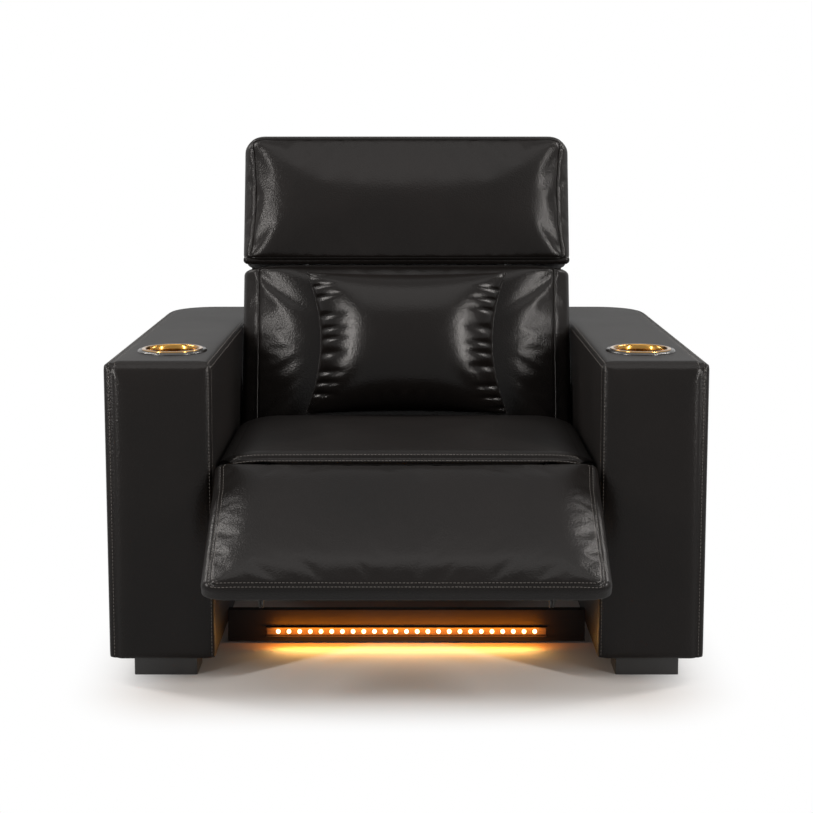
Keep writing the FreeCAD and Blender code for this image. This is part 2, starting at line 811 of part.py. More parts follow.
def actuator_motor(x, y_mouth, y_end, z_axis, bore_depth):
    """Motor housing: square outer tube with the rod's bore, gearbox and an upright motor can."""
    toward = 1 if y_end > y_mouth else -1
    half = actuator_tube_side / 2
    gear_start = y_end - toward * gearbox_length
    tube = block(x - half, x + half, y_mouth, gear_start, z_axis - half, z_axis + half)
    gear_side = half + gearbox_side_margin
    gear_height = half + gearbox_height_margin
    gearbox = block(x - gear_side, x + gear_side, gear_start, y_end,
                    z_axis - gear_height, z_axis + gear_height)
    bore = Part.makeCylinder(actuator_rod_radius + rod_play, bore_depth, FreeCAD.Vector(x, y_mouth, z_axis),
                             FreeCAD.Vector(0, toward, 0))
    can_foot = FreeCAD.Vector(x, y_end - toward * gearbox_length / 2, z_axis - half - actuator_can_drop)
    can = Part.makeCylinder(actuator_can_radius, actuator_can_length, can_foot)
    return tube.fuse(gearbox).fuse(can).removeSplitter().cut(bore)


footrest_yoke_drop = yoke_height(lever_radius, footrest_travel / 2)
footrest_half = math.radians(footrest_travel / 2)
footrest_rate = lever_radius * math.sin(footrest_half) / footrest_half
footrest_yoke_y = torque_axis_y - footrest_rate * math.radians(footrest_closed_angle - footrest_travel / 2)
footrest_rod_z = torque_axis_z - footrest_yoke_drop

back_pivot = back_frame.at(0, back_pivot_rise, -back_pivot_depth)
back_half = math.radians(recline_travel / 2)
back_rate = back_lever_radius * math.sin(back_half) / back_half
back_yoke_y = back_pivot.y + back_lever_radius * math.sin(back_half)
back_rod_z = back_pivot.z - yoke_height(back_lever_radius, recline_travel / 2)


def footrest_motor():
    """Footrest actuator: sits in front of the rear cross tube and is bolted to it by its end bracket."""
    half = motor_foot_width / 2
    rear = rear_tube_y - footrest_motor_standoff
    motor = actuator_motor(footrest_motor_x, footrest_motor_front, rear, footrest_rod_z, footrest_motor_bore)
    foot_plate = block(footrest_motor_x - half, footrest_motor_x + half, rear, rear_tube_y,
                       cross_tube_low, footrest_rod_z + motor_foot_rise)
    return motor.fuse(foot_plate).removeSplitter()


def back_motor():
    """Back actuator: stands on the front cross tube and points to the rear."""
    half = motor_foot_width / 2
    front = front_tube_y + cross_tube_side + back_motor_standoff
    motor = actuator_motor(back_motor_x, back_motor_rear, front, back_rod_z, back_motor_bore)
    foot_plate = block(back_motor_x - half, back_motor_x + half, front_tube_y, front,
                       cross_tube_low + cross_tube_side, back_rod_z + motor_foot_rise)
    return motor.fuse(foot_plate).removeSplitter()


def back_lever():
    """Steel lever under the back's board, pulled forward by the back actuator's yoke."""
    pin_place = (back_pivot.y + back_lever_radius * math.sin(back_half),
                 back_pivot.z - back_lever_radius * math.cos(back_half))
    x0 = back_motor_x - actuator_rod_radius - lever_side_gap
    top = back_frame.at(0, back_foot_gap - link_end_radius, -back_pad - link_end_radius)
    arm = link(world, x0 - lever_thickness, x0, [(top.y, top.z), pin_place], link_end_radius)
    above = frame_block(back_frame, x0 - lever_thickness - overrun, x0 + overrun, back_foot_gap,
                        back_bracket_neck, -back_pad - back_bracket_neck, -back_pad + back_bracket_neck)
    arm = arm.cut(above)
    rear_side, front_side = back_lever_flange
    flange = frame_block(back_frame, x0 - rear_side, x0 + front_side, back_foot_gap - back_lever_flange_thickness,
                         back_foot_gap, -back_pad - back_board_thickness, -back_pad)
    tip = back_motor_x + yoke_thickness / 2 + lever_pin_end
    lever_pin = pin(x0, tip, world, pin_place[0], pin_place[1], link_pin_radius)
    return arm.fuse(flange).fuse(lever_pin).removeSplitter()


def back_cushion():
    """Back cushion: crowned front, rounded sides, slots in its top for the headrest's hinges."""
    pad = crowned_pad(back_frame, cushion_half, 0, back_height, -back_pad, -back_crown, back_crown,
                      back_side_round, back_edge_round, back_edge_round, back_draw_in)
    for side in (-1, 1):
        pad = pad.cut(frame_block(back_frame, side * (ratchet_plane - ratchet_thickness),
                                  side * (ratchet_plane + ratchet_thickness), back_height - ratchet_slot_depth,
                                  back_height + overrun, -back_pad, -roll_depth + roll_radius))
    return pad


def back_board():
    """Plywood board behind the back cushion."""
    half = cushion_half - board_side_margin
    return frame_block(back_frame, -half, half, back_foot_gap, back_height,
                       -back_pad - back_board_thickness, -back_pad)


def back_rear_cover():
    """Padded leather cover on the rear of the back's board."""
    behind = Frame2D(*back_frame.origin, back_frame.along, (math.cos(lean), -math.sin(lean)))
    depth = back_pad + back_board_thickness
    return crowned_pad(behind, cushion_half - cover_side_margin, back_cover_low, back_height, depth,
                       depth + back_rear_pad - cover_crown, cover_crown, cover_round, cover_round, cover_round,
                       cover_draw_in)


def back_bracket():
    """Steel bracket on the end of the back's board, with the pivot pin that turns in the side plate."""
    x0 = cushion_half - board_side_margin
    x1 = x0 + back_bracket_thickness
    front = -back_pad
    tip = front - back_bracket_tip_width
    rear = front - back_bracket_width
    low = back_foot_gap + back_bracket_gap
    body = plate(back_frame, x0, x1, [(low, front), (back_bracket_height, front), (back_bracket_height, tip),
                                      (back_bracket_neck, rear), (low, rear)])
    u = back_pivot_rise
    v = -back_pivot_depth
    body = body.fuse(pin(x0, x1, back_frame, u, v, back_bracket_eye_radius))
    pivot = pin(x1, half_gap - back_pin_play, back_frame, u, v, back_pivot_radius)
    return body.fuse(pivot).removeSplitter()


def hinge_roll():
    """Covered roll round the headrest's hinges, in three lengths between them."""
    inner = ratchet_plane + ratchet_thickness + roll_hinge_room
    outer = cushion_half - roll_end_margin
    middle = ratchet_plane - ratchet_thickness
    lengths = [(-outer, -inner), (-middle, middle), (inner, outer)]
    rolls = [pin(x0, x1, back_frame, roll_rise, -roll_depth, roll_radius) for x0, x1 in lengths]
    return Part.Compound(rolls)


def ratchet_bracket():
    """Lower half of a headrest ratchet hinge: from the back's board under the headrest to the roll's axis."""
    x0 = ratchet_plane - ratchet_thickness / 2
    x1 = ratchet_plane + ratchet_thickness / 2
    u = roll_rise
    v = -roll_depth
    half = ratchet_strap / 2
    low = back_height - 4.5 * ratchet_strap
    high = back_height - half
    body = plate(back_frame, x0, x1, [
        (low, -back_pad), (low, v - ratchet_strap), (u, v + half), (u, v - ratchet_strap),
        (high, v - 2 * ratchet_strap), (high, -back_pad)])
    body = body.fuse(pin(x0, x1, back_frame, u, v, ratchet_eye_radius)).removeSplitter()
    return body.cut(pin(x0, x1, back_frame, u, v, link_pin_radius + link_play))


def ratchet_arm():
    """Upper half of a headrest ratchet hinge, on the headrest's board, with the hinge pin."""
    x0 = ratchet_plane + ratchet_thickness / 2 + link_side_gap
    x1 = x0 + ratchet_thickness
    u = roll_rise
    v = -roll_depth
    w = ratchet_strap
    body = plate(back_frame, x0, x1, [
        (headrest_low + w / 2, -headrest_pad), (headrest_low + 6 * w, -headrest_pad),
        (u + w, v - w), (u + w, v), (u - w, v), (u - w, v - w)])
    body = body.fuse(pin(x0, x1, back_frame, u, v, ratchet_eye_radius))
    hinge = pin(ratchet_plane - ratchet_thickness / 2, x0, back_frame, u, v, link_pin_radius)
    return body.fuse(hinge).removeSplitter()


def headrest_cushion():
    """Headrest cushion with a channel that wraps the roll and slots for the ratchet hinges."""
    pad = crowned_pad(back_frame, cushion_half, headrest_low, headrest_high, -headrest_pad,
                      -headrest_crown, headrest_crown, headrest_side_round, headrest_edge_round,
                      headrest_top_round, headrest_draw_in)
    far = cushion_half + overrun
    pad = pad.cut(pin(-far, far, back_frame, roll_rise, -roll_depth, roll_radius + roll_play))
    for side in (-1, 1):
        pad = pad.cut(frame_block(back_frame, side * (ratchet_plane - ratchet_thickness),
                                  side * (ratchet_plane + ratchet_side_room), headrest_low - overrun,
                                  headrest_low + ratchet_slot_depth + overrun, -headrest_pad,
                                  -roll_depth + roll_radius + ratchet_slot_play))
    return pad


def headrest_board():
    """Plywood board behind the headrest cushion."""
    half = cushion_half - board_side_margin
    low = headrest_low + headrest_board_gap
    high = headrest_high - headrest_board_margin
    return frame_block(back_frame, -half, half, low, high, -headrest_pad - back_board_thickness,
                       -headrest_pad)


def headrest_rear_cover():
    """Padded leather cover on the rear of the headrest's board."""
    behind = Frame2D(*back_frame.origin, back_frame.along, (math.cos(lean), -math.sin(lean)))
    depth = headrest_pad + back_board_thickness
    return crowned_pad(behind, cushion_half - cover_side_margin, headrest_low + headrest_board_gap,
                       headrest_high - headrest_cover_top_margin, depth, depth + back_rear_pad - cover_crown,
                       cover_crown, cover_round, cover_round, headrest_cover_top_round, cover_draw_in)


def lumbar_pillow():
    """Loose pillow against the back: crowned front, flatter rear, sides pulled in between its corners."""
    wires = []
    steps = 10
    for index in range(steps + 1):
        share = -1 + 2 * index / steps
        u = pillow_foot + pillow_height * (share + 1) / 2
        half = pillow_half_width - pillow_waist * (1 - share ** 2)
        plump = math.sqrt(max(0.0, 1 - share ** 2))
        front = pillow_edge_thickness + (pillow_front_bulge - pillow_edge_thickness) * plump
        rear = pillow_edge_thickness + (pillow_depth - pillow_rest_gap - pillow_edge_thickness) * plump
        seam = pillow_edge_thickness / 2
        p1 = back_frame.at(-half, u, pillow_depth - seam)
        p2 = back_frame.at(-half, u, pillow_depth + seam)
        p3 = back_frame.at(0, u, pillow_depth + front)
        p4 = back_frame.at(half, u, pillow_depth + seam)
        p5 = back_frame.at(half, u, pillow_depth - seam)
        p6 = back_frame.at(0, u, pillow_depth - rear)
        wires.append(Part.Wire([
            Part.LineSegment(p1, p2).toShape(),
            Part.Arc(p2, p3, p4).toShape(),
            Part.LineSegment(p4, p5).toShape(),
            Part.Arc(p5, p6, p1).toShape(),
        ]))
    return Part.makeLoft(wires, True, True)


def front_apron():
    """Board between the arms near the floor, which carries the LED strip."""
    half = half_gap - panel_play
    return block(-half, half, apron_y, apron_y + apron_thickness, apron_low, apron_high)


led_half = led_pitch * (led_count - 1) / 2
channel_half = led_half + led_end_margin
led_board_face = apron_y - led_channel_wall - led_board_thickness


def led_channel():
    """Aluminium channel on the apron, open to the front."""
    h = led_channel_height / 2
    outside = block(-channel_half, channel_half, apron_y - led_channel_depth, apron_y,
                    led_height - h, led_height + h)
    inside = block(-channel_half, channel_half, apron_y - led_channel_depth, apron_y - led_channel_wall,
                   led_height - h + led_channel_wall, led_height + h - led_channel_wall)
    return outside.cut(inside)


def led_board():
    """Circuit board strip in the channel."""
    half = channel_half - led_channel_wall
    return block(-half, half, led_board_face, led_board_face + led_board_thickness,
                 led_height - led_board_width / 2, led_height + led_board_width / 2)


def led_lamps():
    """Round domed LEDs in a row."""
    lamps = []
    for index in range(led_count):
        x = -led_half + index * led_pitch
        foot_point = FreeCAD.Vector(x, led_board_face, led_height)
        base = Part.makeCylinder(led_radius, led_base_height, foot_point, FreeCAD.Vector(0, -1, 0))
        y_dome = led_board_face - led_base_height
        ball = Part.makeSphere(led_radius, FreeCAD.Vector(x, y_dome, led_height))
        r = led_radius + overrun
        dome = ball.common(block(x - r, x + r, y_dome - r, y_dome, led_height - r, led_height + r))
        lamps.append(base.fuse(dome).removeSplitter())
    return Part.Compound(lamps)


def rear_panel():
    """Leather-covered board that closes the rear between the arms, with the mains inlet's window."""
    half = half_gap - panel_play
    rear = rear_panel_y + rear_panel_thickness
    body = block(-half, half, rear_panel_y, rear, rear_panel_low, rear_panel_high)
    window = block(inlet_x - inlet_width / 2, inlet_x + inlet_width / 2, rear_panel_y - overrun,
                   rear + overrun, inlet_z - inlet_height / 2, inlet_z + inlet_height / 2)
    return body.cut(window)


def power_inlet():
    """Mains inlet socket in the rear panel."""
    w = inlet_width / 2
    h = inlet_height / 2
    rear = rear_panel_y + rear_panel_thickness
    body = block(inlet_x - w, inlet_x + w, rear - inlet_depth, rear, inlet_z - h, inlet_z + h)
    flange = block(inlet_x - w - inlet_flange, inlet_x + w + inlet_flange, rear, rear + inlet_wall,
                   inlet_z - h - inlet_flange, inlet_z + h + inlet_flange)
    half = w - inlet_mouth_side
    mouth = block(inlet_x - half, inlet_x + half, rear - inlet_depth + inlet_wall, rear + overrun,
                  inlet_z - h + inlet_mouth_edge, inlet_z + h - inlet_mouth_edge)
    thin, tall = inlet_blade_half
    shell = body.fuse(flange).cut(mouth)
    for x in (inlet_x - inlet_blade_pitch, inlet_x, inlet_x + inlet_blade_pitch):
        blade = block(x - thin, x + thin, rear - inlet_depth, rear - inlet_blade_setback,
                      inlet_z - tall, inlet_z + tall)
        shell = shell.fuse(blade)
    return shell.removeSplitter()


def power_supply():
    """Power supply box hung under the deck."""
    dx, dy, dz = supply_size
    return block(supply_x, supply_x + dx, supply_y, supply_y + dy, deck_low - dz, deck_low)


def button_places():
    """Where the buttons' centres lie along the control panel."""
    first = control_y - button_pitch * (len(button_names) - 1) / 2
    return [first + index * button_pitch for index in range(len(button_names))]


def control_panel():
    """Moulded panel with a hole for each button, on the right arm's outer side."""
    x0 = control_face
    body = block(x0, control_back, control_y - control_length / 2, control_y + control_length / 2,
                 control_z - control_height / 2, control_z + control_height / 2)
    corners = [edge for edge in body.Edges if abs(edge.Vertexes[0].X - edge.Vertexes[-1].X) > 1]
    body = body.makeFillet(control_rim, corners)
    for y in button_places():
        hole = pin(x0 - overrun, control_back + overrun, world, y, control_z, button_radius + button_play)
        body = body.cut(hole)
    return body


def control_recess():
    """Pocket in the arm's cover for the control panel, with a deeper part behind it for the buttons."""
    length = control_length / 2
    height = control_height / 2
    seat = block(-arm_outer - overrun, control_back, control_y - length, control_y + length,
                 control_z - height, control_z + height)
    deep = block(-arm_outer - overrun, control_back + control_pocket, control_y - length + control_rim,
                 control_y + length - control_rim, control_z - height + control_rim / 2,
                 control_z + height - control_rim / 2)
    return seat.fuse(deep)


def button(y):
    """Push button with a flange that keeps it behind the panel."""
    x_face = control_face - button_proud
    x_flange = control_back + button_play
    stem = pin(x_face, x_flange + button_flange_thickness, world, y, control_z, button_radius)
    crown = [edge for edge in stem.Edges if len(edge.Vertexes) == 1 and edge.Vertexes[0].X < x_face + 0.1]
    stem = stem.makeFillet(button_edge_round, crown)
    flange = pin(x_flange, x_flange + button_flange_thickness, world, y, control_z,
                 button_radius + button_flange)
    return stem.fuse(flange).removeSplitter()


def both_sides(name, shape):
    """The left piece and its mirror image on the right."""
    return {name + "_left": shape, name + "_right": mirrored(shape)}


def all_pieces():
    """Every piece of the seat by name."""
    pieces = {}
    for name, shape in arm_pieces().items():
        pieces.update(both_sides(name, shape))
    panels = [panel.cut(control_recess()) for panel in pieces["arm_cover_right"].Solids]
    pieces["arm_cover_right"] = Part.Compound([solid for panel in panels for solid in panel.Solids])
    pieces.update(both_sides("cup_holder", cup_holder()))
    pieces.update(both_sides("cup_ring", cup_ring()))
    screws = []
    for place, y in foot_centres.items():
        pieces.update(both_sides("foot_" + place, foot(y)))
        screws += [foot_screw(y), mirrored(foot_screw(y))]
    pieces["foot_screws"] = Part.Compound(screws)
    pieces["arm_bolts"] = Part.Compound([arm_bolts(), mirrored(arm_bolts())])
    pieces.update(both_sides("side_plate", side_plate()))
    pieces["cross_tube_front"] = cross_tube(front_tube_y)
    pieces["cross_tube_rear"] = cross_tube(rear_tube_y)
    pieces["seat_deck"] = block(-half_gap, half_gap, deck_front, deck_rear, deck_low, deck_top)
    pieces["seat_cushion"] = seat_cushion()
    pieces["hinge_ears"] = Part.Compound([hinge_ear(), mirrored(hinge_ear())])
    pieces["bearing_ears"] = Part.Compound([bearing_ear(), mirrored(bearing_ear())])
    pieces["footrest_cushion"] = footrest_cushion()
    pieces["footrest_board"] = footrest_board()
    pieces.update(both_sides("footrest_bracket", footrest_bracket()))
    pieces["torque_tube"] = torque_tube()
    pieces.update(both_sides("drive_link", drive_link()))
    pieces["footrest_motor"] = footrest_motor()
    pieces["footrest_push_rod"] = push_rod(footrest_motor_x, footrest_yoke_y, footrest_rod_z, lever_radius,
                                           footrest_travel / 2, footrest_rod_rear)
    pieces["back_motor"] = back_motor()
    pieces["back_push_rod"] = push_rod(back_motor_x, back_yoke_y, back_rod_z, back_lever_radius,
                                       recline_travel / 2, back_rod_front)
    pieces["back_lever"] = back_lever()
    pieces["back_cushion"] = back_cushion()
    pieces["back_board"] = back_board()
    pieces["back_rear_cover"] = back_rear_cover()
    pieces.update(both_sides("back_bracket", back_bracket()))
    pieces["hinge_roll"] = hinge_roll()
    pieces["ratchet_brackets"] = Part.Compound([ratchet_bracket(), mirrored(ratchet_bracket())])
    pieces["ratchet_arms"] = Part.Compound([ratchet_arm(), mirrored(ratchet_arm())])
    pieces["headrest_cushion"] = headrest_cushion()
    pieces["headrest_board"] = headrest_board()
    pieces["headrest_rear_cover"] = headrest_rear_cover()
    pieces["lumbar_pillow"] = lumbar_pillow()
    pieces["front_apron"] = front_apron()
    pieces["led_channel"] = led_channel()
    pieces["led_board"] = led_board()
    pieces["led_lamps"] = led_lamps()
    pieces["rear_panel"] = rear_panel()
    pieces["power_inlet"] = power_inlet()
    pieces["power_supply"] = power_supply()
    pieces["control_panel"] = control_panel()
    for name, y in zip(button_names, button_places()):
        pieces[name] = button(y)
    return pieces


def floor_centre(pieces):
    """The middle of the seat's floor area, which becomes the origin."""
    box = Part.Compound(list(pieces.values())).BoundBox
    return FreeCAD.Vector(box.Center.x, box.Center.y, 0)


def joint_places(origin):
    """Points on the joint axes, from the origin."""
    places = {
        "footrest": footrest_frame.at(0, 0, 0),
        "torque_tube": FreeCAD.Vector(0, torque_axis_y, torque_axis_z),
        "drive_link": FreeCAD.Vector(0, crank_end()[0], crank_end()[1]),
        "back": back_pivot,
        "headrest": back_frame.at(0, roll_rise, -roll_depth),
        "cup_holder": FreeCAD.Vector(cup_x, cup_from_front, ring_top + cup_lip_thickness),
    }
    return {name: place - origin for name, place in places.items()}


os.makedirs("parts", exist_ok=True)
pieces = all_pieces()
origin = floor_centre(pieces)
for name, shape in pieces.items():
    for solid in shape.Solids:
        if solid.Volume < 0:
            solid.reverse()
    shape.translate(-origin)
    shape.exportStep(f"parts/{name}.step")
for name, place in joint_places(origin).items():
    print(name, [round(value, 3) for value in place])
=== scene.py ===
"""Cinema recliner seat in black leather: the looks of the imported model, piece by piece."""
import math

import bpy
import numpy as np
from mathutils import Matrix, Vector
from mathutils.bvhtree import BVHTree


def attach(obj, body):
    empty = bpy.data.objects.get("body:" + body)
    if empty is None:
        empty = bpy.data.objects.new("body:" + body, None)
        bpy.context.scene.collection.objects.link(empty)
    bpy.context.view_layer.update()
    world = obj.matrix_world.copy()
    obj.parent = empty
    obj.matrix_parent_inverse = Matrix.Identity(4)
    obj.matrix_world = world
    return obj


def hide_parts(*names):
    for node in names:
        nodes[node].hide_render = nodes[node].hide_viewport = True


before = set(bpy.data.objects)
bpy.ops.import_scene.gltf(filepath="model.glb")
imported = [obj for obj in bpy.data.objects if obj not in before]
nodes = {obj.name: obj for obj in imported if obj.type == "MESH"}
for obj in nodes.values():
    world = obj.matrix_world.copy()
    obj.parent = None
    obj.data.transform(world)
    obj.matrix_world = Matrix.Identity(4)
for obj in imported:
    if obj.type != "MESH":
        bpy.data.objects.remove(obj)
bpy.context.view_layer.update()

# Plywood carcass: rotary-cut birch boards, bare inside the leather, with pale and dark plies along the cut
# edges and long grain on the faces.


def linear(colour):
    """An sRGB hex colour as the linear colour that a shader takes."""
    parts = [int(colour[i:i + 2], 16) / 255 for i in (1, 3, 5)]
    return [c / 12.92 if c <= 0.04045 else ((c + 0.055) / 1.055) ** 2.4 for c in parts] + [1.0]


def add(tree, kind, values=None, **settings):
    """A shader node with its settings, its values and the sockets that feed it."""
    made = tree.nodes.new(kind)
    for name, value in settings.items():
        setattr(made, name, value)
    for name, value in (values or {}).items():
        if isinstance(value, bpy.types.NodeSocket):
            tree.links.new(value, made.inputs[name])
        else:
            made.inputs[name].default_value = value
    return made


def start(name):
    """An empty node material, with its tree, its shader and the object's own coordinates in metres."""
    material = bpy.data.materials.new(name)
    material.use_nodes = True
    tree = material.node_tree
    tree.nodes.clear()
    place = add(tree, "ShaderNodeTexCoord").outputs["Object"]
    shader = add(tree, "ShaderNodeBsdfPrincipled")
    output = add(tree, "ShaderNodeOutputMaterial")
    tree.links.new(shader.outputs[0], output.inputs["Surface"])
    return material, tree, shader, place


def blend_colours(tree, share, first, second):
    """A colour between two by a share."""
    mix = add(tree, "ShaderNodeMix", data_type="RGBA")
    tree.links.new(share, mix.inputs["Factor"])
    mix.inputs[6].default_value = linear(first)
    mix.inputs[7].default_value = linear(second)
    return mix.outputs[2]


def between(tree, share, low, high):
    """A share of 0 to 1 as a value from low to high."""
    values = {"Value": share, "To Min": low, "To Max": high}
    return add(tree, "ShaderNodeMapRange", values).outputs["Result"]


def finish_nodes(names, material):
    """The same material on several CAD nodes."""
    for name in names:
        for slot in nodes[name].material_slots:
            slot.material = material


plywood, tree, shader, place = start("birch_plywood")
long_grain = add(tree, "ShaderNodeMapping", {"Vector": place, "Scale": (1.0, 0.06, 1.0)})
grain = add(tree, "ShaderNodeTexNoise", {"Vector": long_grain.outputs[0], "Scale": 160.0, "Detail": 6.0})
ply_height = add(tree, "ShaderNodeTexWave", {"Vector": place, "Scale": 70.0, "Distortion": 1.2},
                 bands_direction="Z")
figure = add(tree, "ShaderNodeMath", {0: grain.outputs["Fac"], 1: ply_height.outputs["Fac"]},
             operation="MULTIPLY")
tree.links.new(blend_colours(tree, figure.outputs[0], "#c9a878", "#94703f"), shader.inputs["Base Color"])
tree.links.new(between(tree, grain.outputs["Fac"], 0.55, 0.75), shader.inputs["Roughness"])
raised = add(tree, "ShaderNodeBump", {"Height": grain.outputs["Fac"], "Strength": 0.2, "Distance": 0.0004})
tree.links.new(raised.outputs[0], shader.inputs["Normal"])
finish_nodes(["arm_box_left", "arm_box_right", "arm_base_board_left", "arm_base_board_right", "seat_deck",
              "footrest_board"], plywood)

# Feet: square blocks of moulded ABS, satin black, with a fine spark-eroded texture and scuffs near the floor.
foot_abs, tree, shader, place = start("moulded_abs_feet")
abs_texture_mm = 0.8
fine = add(tree, "ShaderNodeTexNoise", {"Vector": place, "Scale": 1000 / abs_texture_mm, "Detail": 2.0})
scuffs = add(tree, "ShaderNodeTexNoise", {"Vector": place, "Scale": 45.0, "Detail": 5.0, "Roughness": 0.7})
tree.links.new(blend_colours(tree, scuffs.outputs["Fac"], "#0c0c0c", "#1d1c1b"), shader.inputs["Base Color"])
tree.links.new(between(tree, scuffs.outputs["Fac"], 0.28, 0.5), shader.inputs["Roughness"])
raised = add(tree, "ShaderNodeBump", {"Height": fine.outputs["Fac"], "Strength": 0.25, "Distance": 0.0002})
tree.links.new(raised.outputs[0], shader.inputs["Normal"])
finish_nodes(["foot_front_left", "foot_front_right", "foot_rear_left", "foot_rear_right"], foot_abs)

# Steelwork: laser-cut plates, flat links and tubes in black powder coat, which leaves a faint orange peel.
powder_coat, tree, shader, place = start("black_powder_coat")
peel_mm = 2.5
peel = add(tree, "ShaderNodeTexNoise", {"Vector": place, "Scale": 1000 / peel_mm, "Detail": 1.0})
dust = add(tree, "ShaderNodeTexNoise", {"Vector": place, "Scale": 18.0, "Detail": 4.0})
tree.links.new(blend_colours(tree, dust.outputs["Fac"], "#0b0b0c", "#1a1a1a"), shader.inputs["Base Color"])
tree.links.new(between(tree, dust.outputs["Fac"], 0.38, 0.55), shader.inputs["Roughness"])
raised = add(tree, "ShaderNodeBump", {"Height": peel.outputs["Fac"], "Strength": 0.3, "Distance": 0.0003})
tree.links.new(raised.outputs[0], shader.inputs["Normal"])
finish_nodes(["side_plate_left", "side_plate_right", "cross_tube_front", "cross_tube_rear", "hinge_ears",
              "bearing_ears", "footrest_bracket_left", "footrest_bracket_right", "torque_tube",
              "drive_link_left", "drive_link_right", "back_lever", "back_bracket_left", "back_bracket_right",
              "ratchet_brackets", "ratchet_arms"], powder_coat)

# Screws, bolts and the actuators' rods: zinc-plated steel, brushed by turning.
zinc, tree, shader, place = start("zinc_plated_steel")
shader.inputs["Metallic"].default_value = 1.0
turned = add(tree, "ShaderNodeMapping", {"Vector": place, "Scale": (40.0, 900.0, 900.0)})
lines = add(tree, "ShaderNodeTexNoise", {"Vector": turned.outputs[0], "Scale": 1.0, "Detail": 3.0})
tree.links.new(blend_colours(tree, lines.outputs["Fac"], "#a9abad", "#c8c9c8"), shader.inputs["Base Color"])
tree.links.new(between(tree, lines.outputs["Fac"], 0.22, 0.4), shader.inputs["Roughness"])
finish_nodes(["foot_screws", "arm_bolts", "footrest_push_rod", "back_push_rod"], zinc)

# Actuators, power supply and mains inlet: injection-moulded ABS with a light spark-eroded texture.
housing_abs, tree, shader, place = start("moulded_abs_housings")
fine = add(tree, "ShaderNodeTexNoise", {"Vector": place, "Scale": 900.0, "Detail": 2.0})
sheen = add(tree, "ShaderNodeTexNoise", {"Vector": place, "Scale": 12.0, "Detail": 3.0})
tree.links.new(blend_colours(tree, sheen.outputs["Fac"], "#121314", "#222324"), shader.inputs["Base Color"])
tree.links.new(between(tree, sheen.outputs["Fac"], 0.42, 0.58), shader.inputs["Roughness"])
raised = add(tree, "ShaderNodeBump", {"Height": fine.outputs["Fac"], "Strength": 0.3, "Distance": 0.0002})
tree.links.new(raised.outputs[0], shader.inputs["Normal"])
finish_nodes(["footrest_motor", "back_motor", "power_supply", "power_inlet", "control_panel"], housing_abs)

# Upholstery leather: black corrected-grain hide, embossed with a fine pebble and finished satin, so that soft
# light draws broad warm-grey highlights broken by the grain. The real pebble is about 1.2 mm; it is drawn at
# 2.6 mm, the finest that shows at this distance.


def leather(name, pebble_mm, rough_low, rough_high, relief):
    """Embossed black leather with its pebble, its stretch creases and rubbed patches."""
    material, tree, shader, place = start(name)
    bend = add(tree, "ShaderNodeTexNoise", {"Vector": place, "Scale": 90.0, "Detail": 2.0})
    nudge = add(tree, "ShaderNodeVectorMath", {0: bend.outputs["Color"], 1: (0.004, 0.004, 0.004)},
                operation="MULTIPLY")
    loose = add(tree, "ShaderNodeVectorMath", {0: place, 1: nudge.outputs[0]}, operation="ADD")
    pebble = add(tree, "ShaderNodeTexVoronoi", {"Vector": loose.outputs[0], "Scale": 1000 / pebble_mm},
                 feature="SMOOTH_F1")
    pores = add(tree, "ShaderNodeTexNoise", {"Vector": place, "Scale": 1000.0, "Detail": 2.0})
    creases = add(tree, "ShaderNodeTexNoise", {"Vector": place, "Scale": 34.0, "Detail": 5.0,
                                               "Roughness": 0.6, "Distortion": 0.6})
    patches = add(tree, "ShaderNodeTexNoise", {"Vector": place, "Scale": 6.0, "Detail": 3.0})
    black = blend_colours(tree, patches.outputs["Fac"], "#0a0908", "#120f0e")
    tree.links.new(black, shader.inputs["Base Color"])
    worn = add(tree, "ShaderNodeMath", {0: patches.outputs["Fac"], 1: pores.outputs["Fac"]},
               operation="MULTIPLY")
    grazing = add(tree, "ShaderNodeLayerWeight", {"Blend": 0.3}).outputs["Facing"]
    plain_rough = between(tree, worn.outputs[0], rough_low, rough_high)
    rough_at_edge = 0.4
    rough = add(tree, "ShaderNodeMath", {0: grazing, 1: rough_at_edge, 2: plain_rough},
                operation="MULTIPLY_ADD")
    tree.links.new(rough.outputs[0], shader.inputs["Roughness"])
    shader.inputs["Specular IOR Level"].default_value = 0.12
    wide = add(tree, "ShaderNodeBump", {"Height": creases.outputs["Fac"],
                                        "Strength": 0.14, "Distance": 0.0016})
    small = add(tree, "ShaderNodeBump", {"Height": pebble.outputs["Distance"], "Normal": wide.outputs[0],
                                         "Strength": relief, "Distance": 0.0006})
    last = add(tree, "ShaderNodeBump", {"Height": pores.outputs["Fac"], "Normal": small.outputs[0],
                                        "Strength": 0.15, "Distance": 0.0002})
    tree.links.new(last.outputs[0], shader.inputs["Normal"])
    return material


hide = leather("black_corrected_grain_leather", pebble_mm=2.6, rough_low=0.20, rough_high=0.34, relief=0.5)

# Thread: bonded nylon, dark grey, matte, with the twist of its plies.
thread, tree, shader, place = start("bonded_nylon_thread")
twist = add(tree, "ShaderNodeTexNoise", {"Vector": place, "Scale": 700.0, "Detail": 2.0})
tree.links.new(blend_colours(tree, twist.outputs["Fac"], "#282522", "#45403b"), shader.inputs["Base Color"])
tree.links.new(between(tree, twist.outputs["Fac"], 0.4, 0.6), shader.inputs["Roughness"])

# Arms: plywood boxes padded with foam and covered in five sewn panels. Each panel puffs up between its seams,
# which are top-stitched with a lock stitch about every 6 mm, and the rear outer corner is rounded.


def dress(piece, body, material):
    """The finished piece's material, smooth shading and body."""
    piece.data.materials.clear()
    piece.data.materials.append(material)
    piece.data.polygons.foreach_set("use_smooth", [True] * len(piece.data.polygons))
    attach(piece, body)


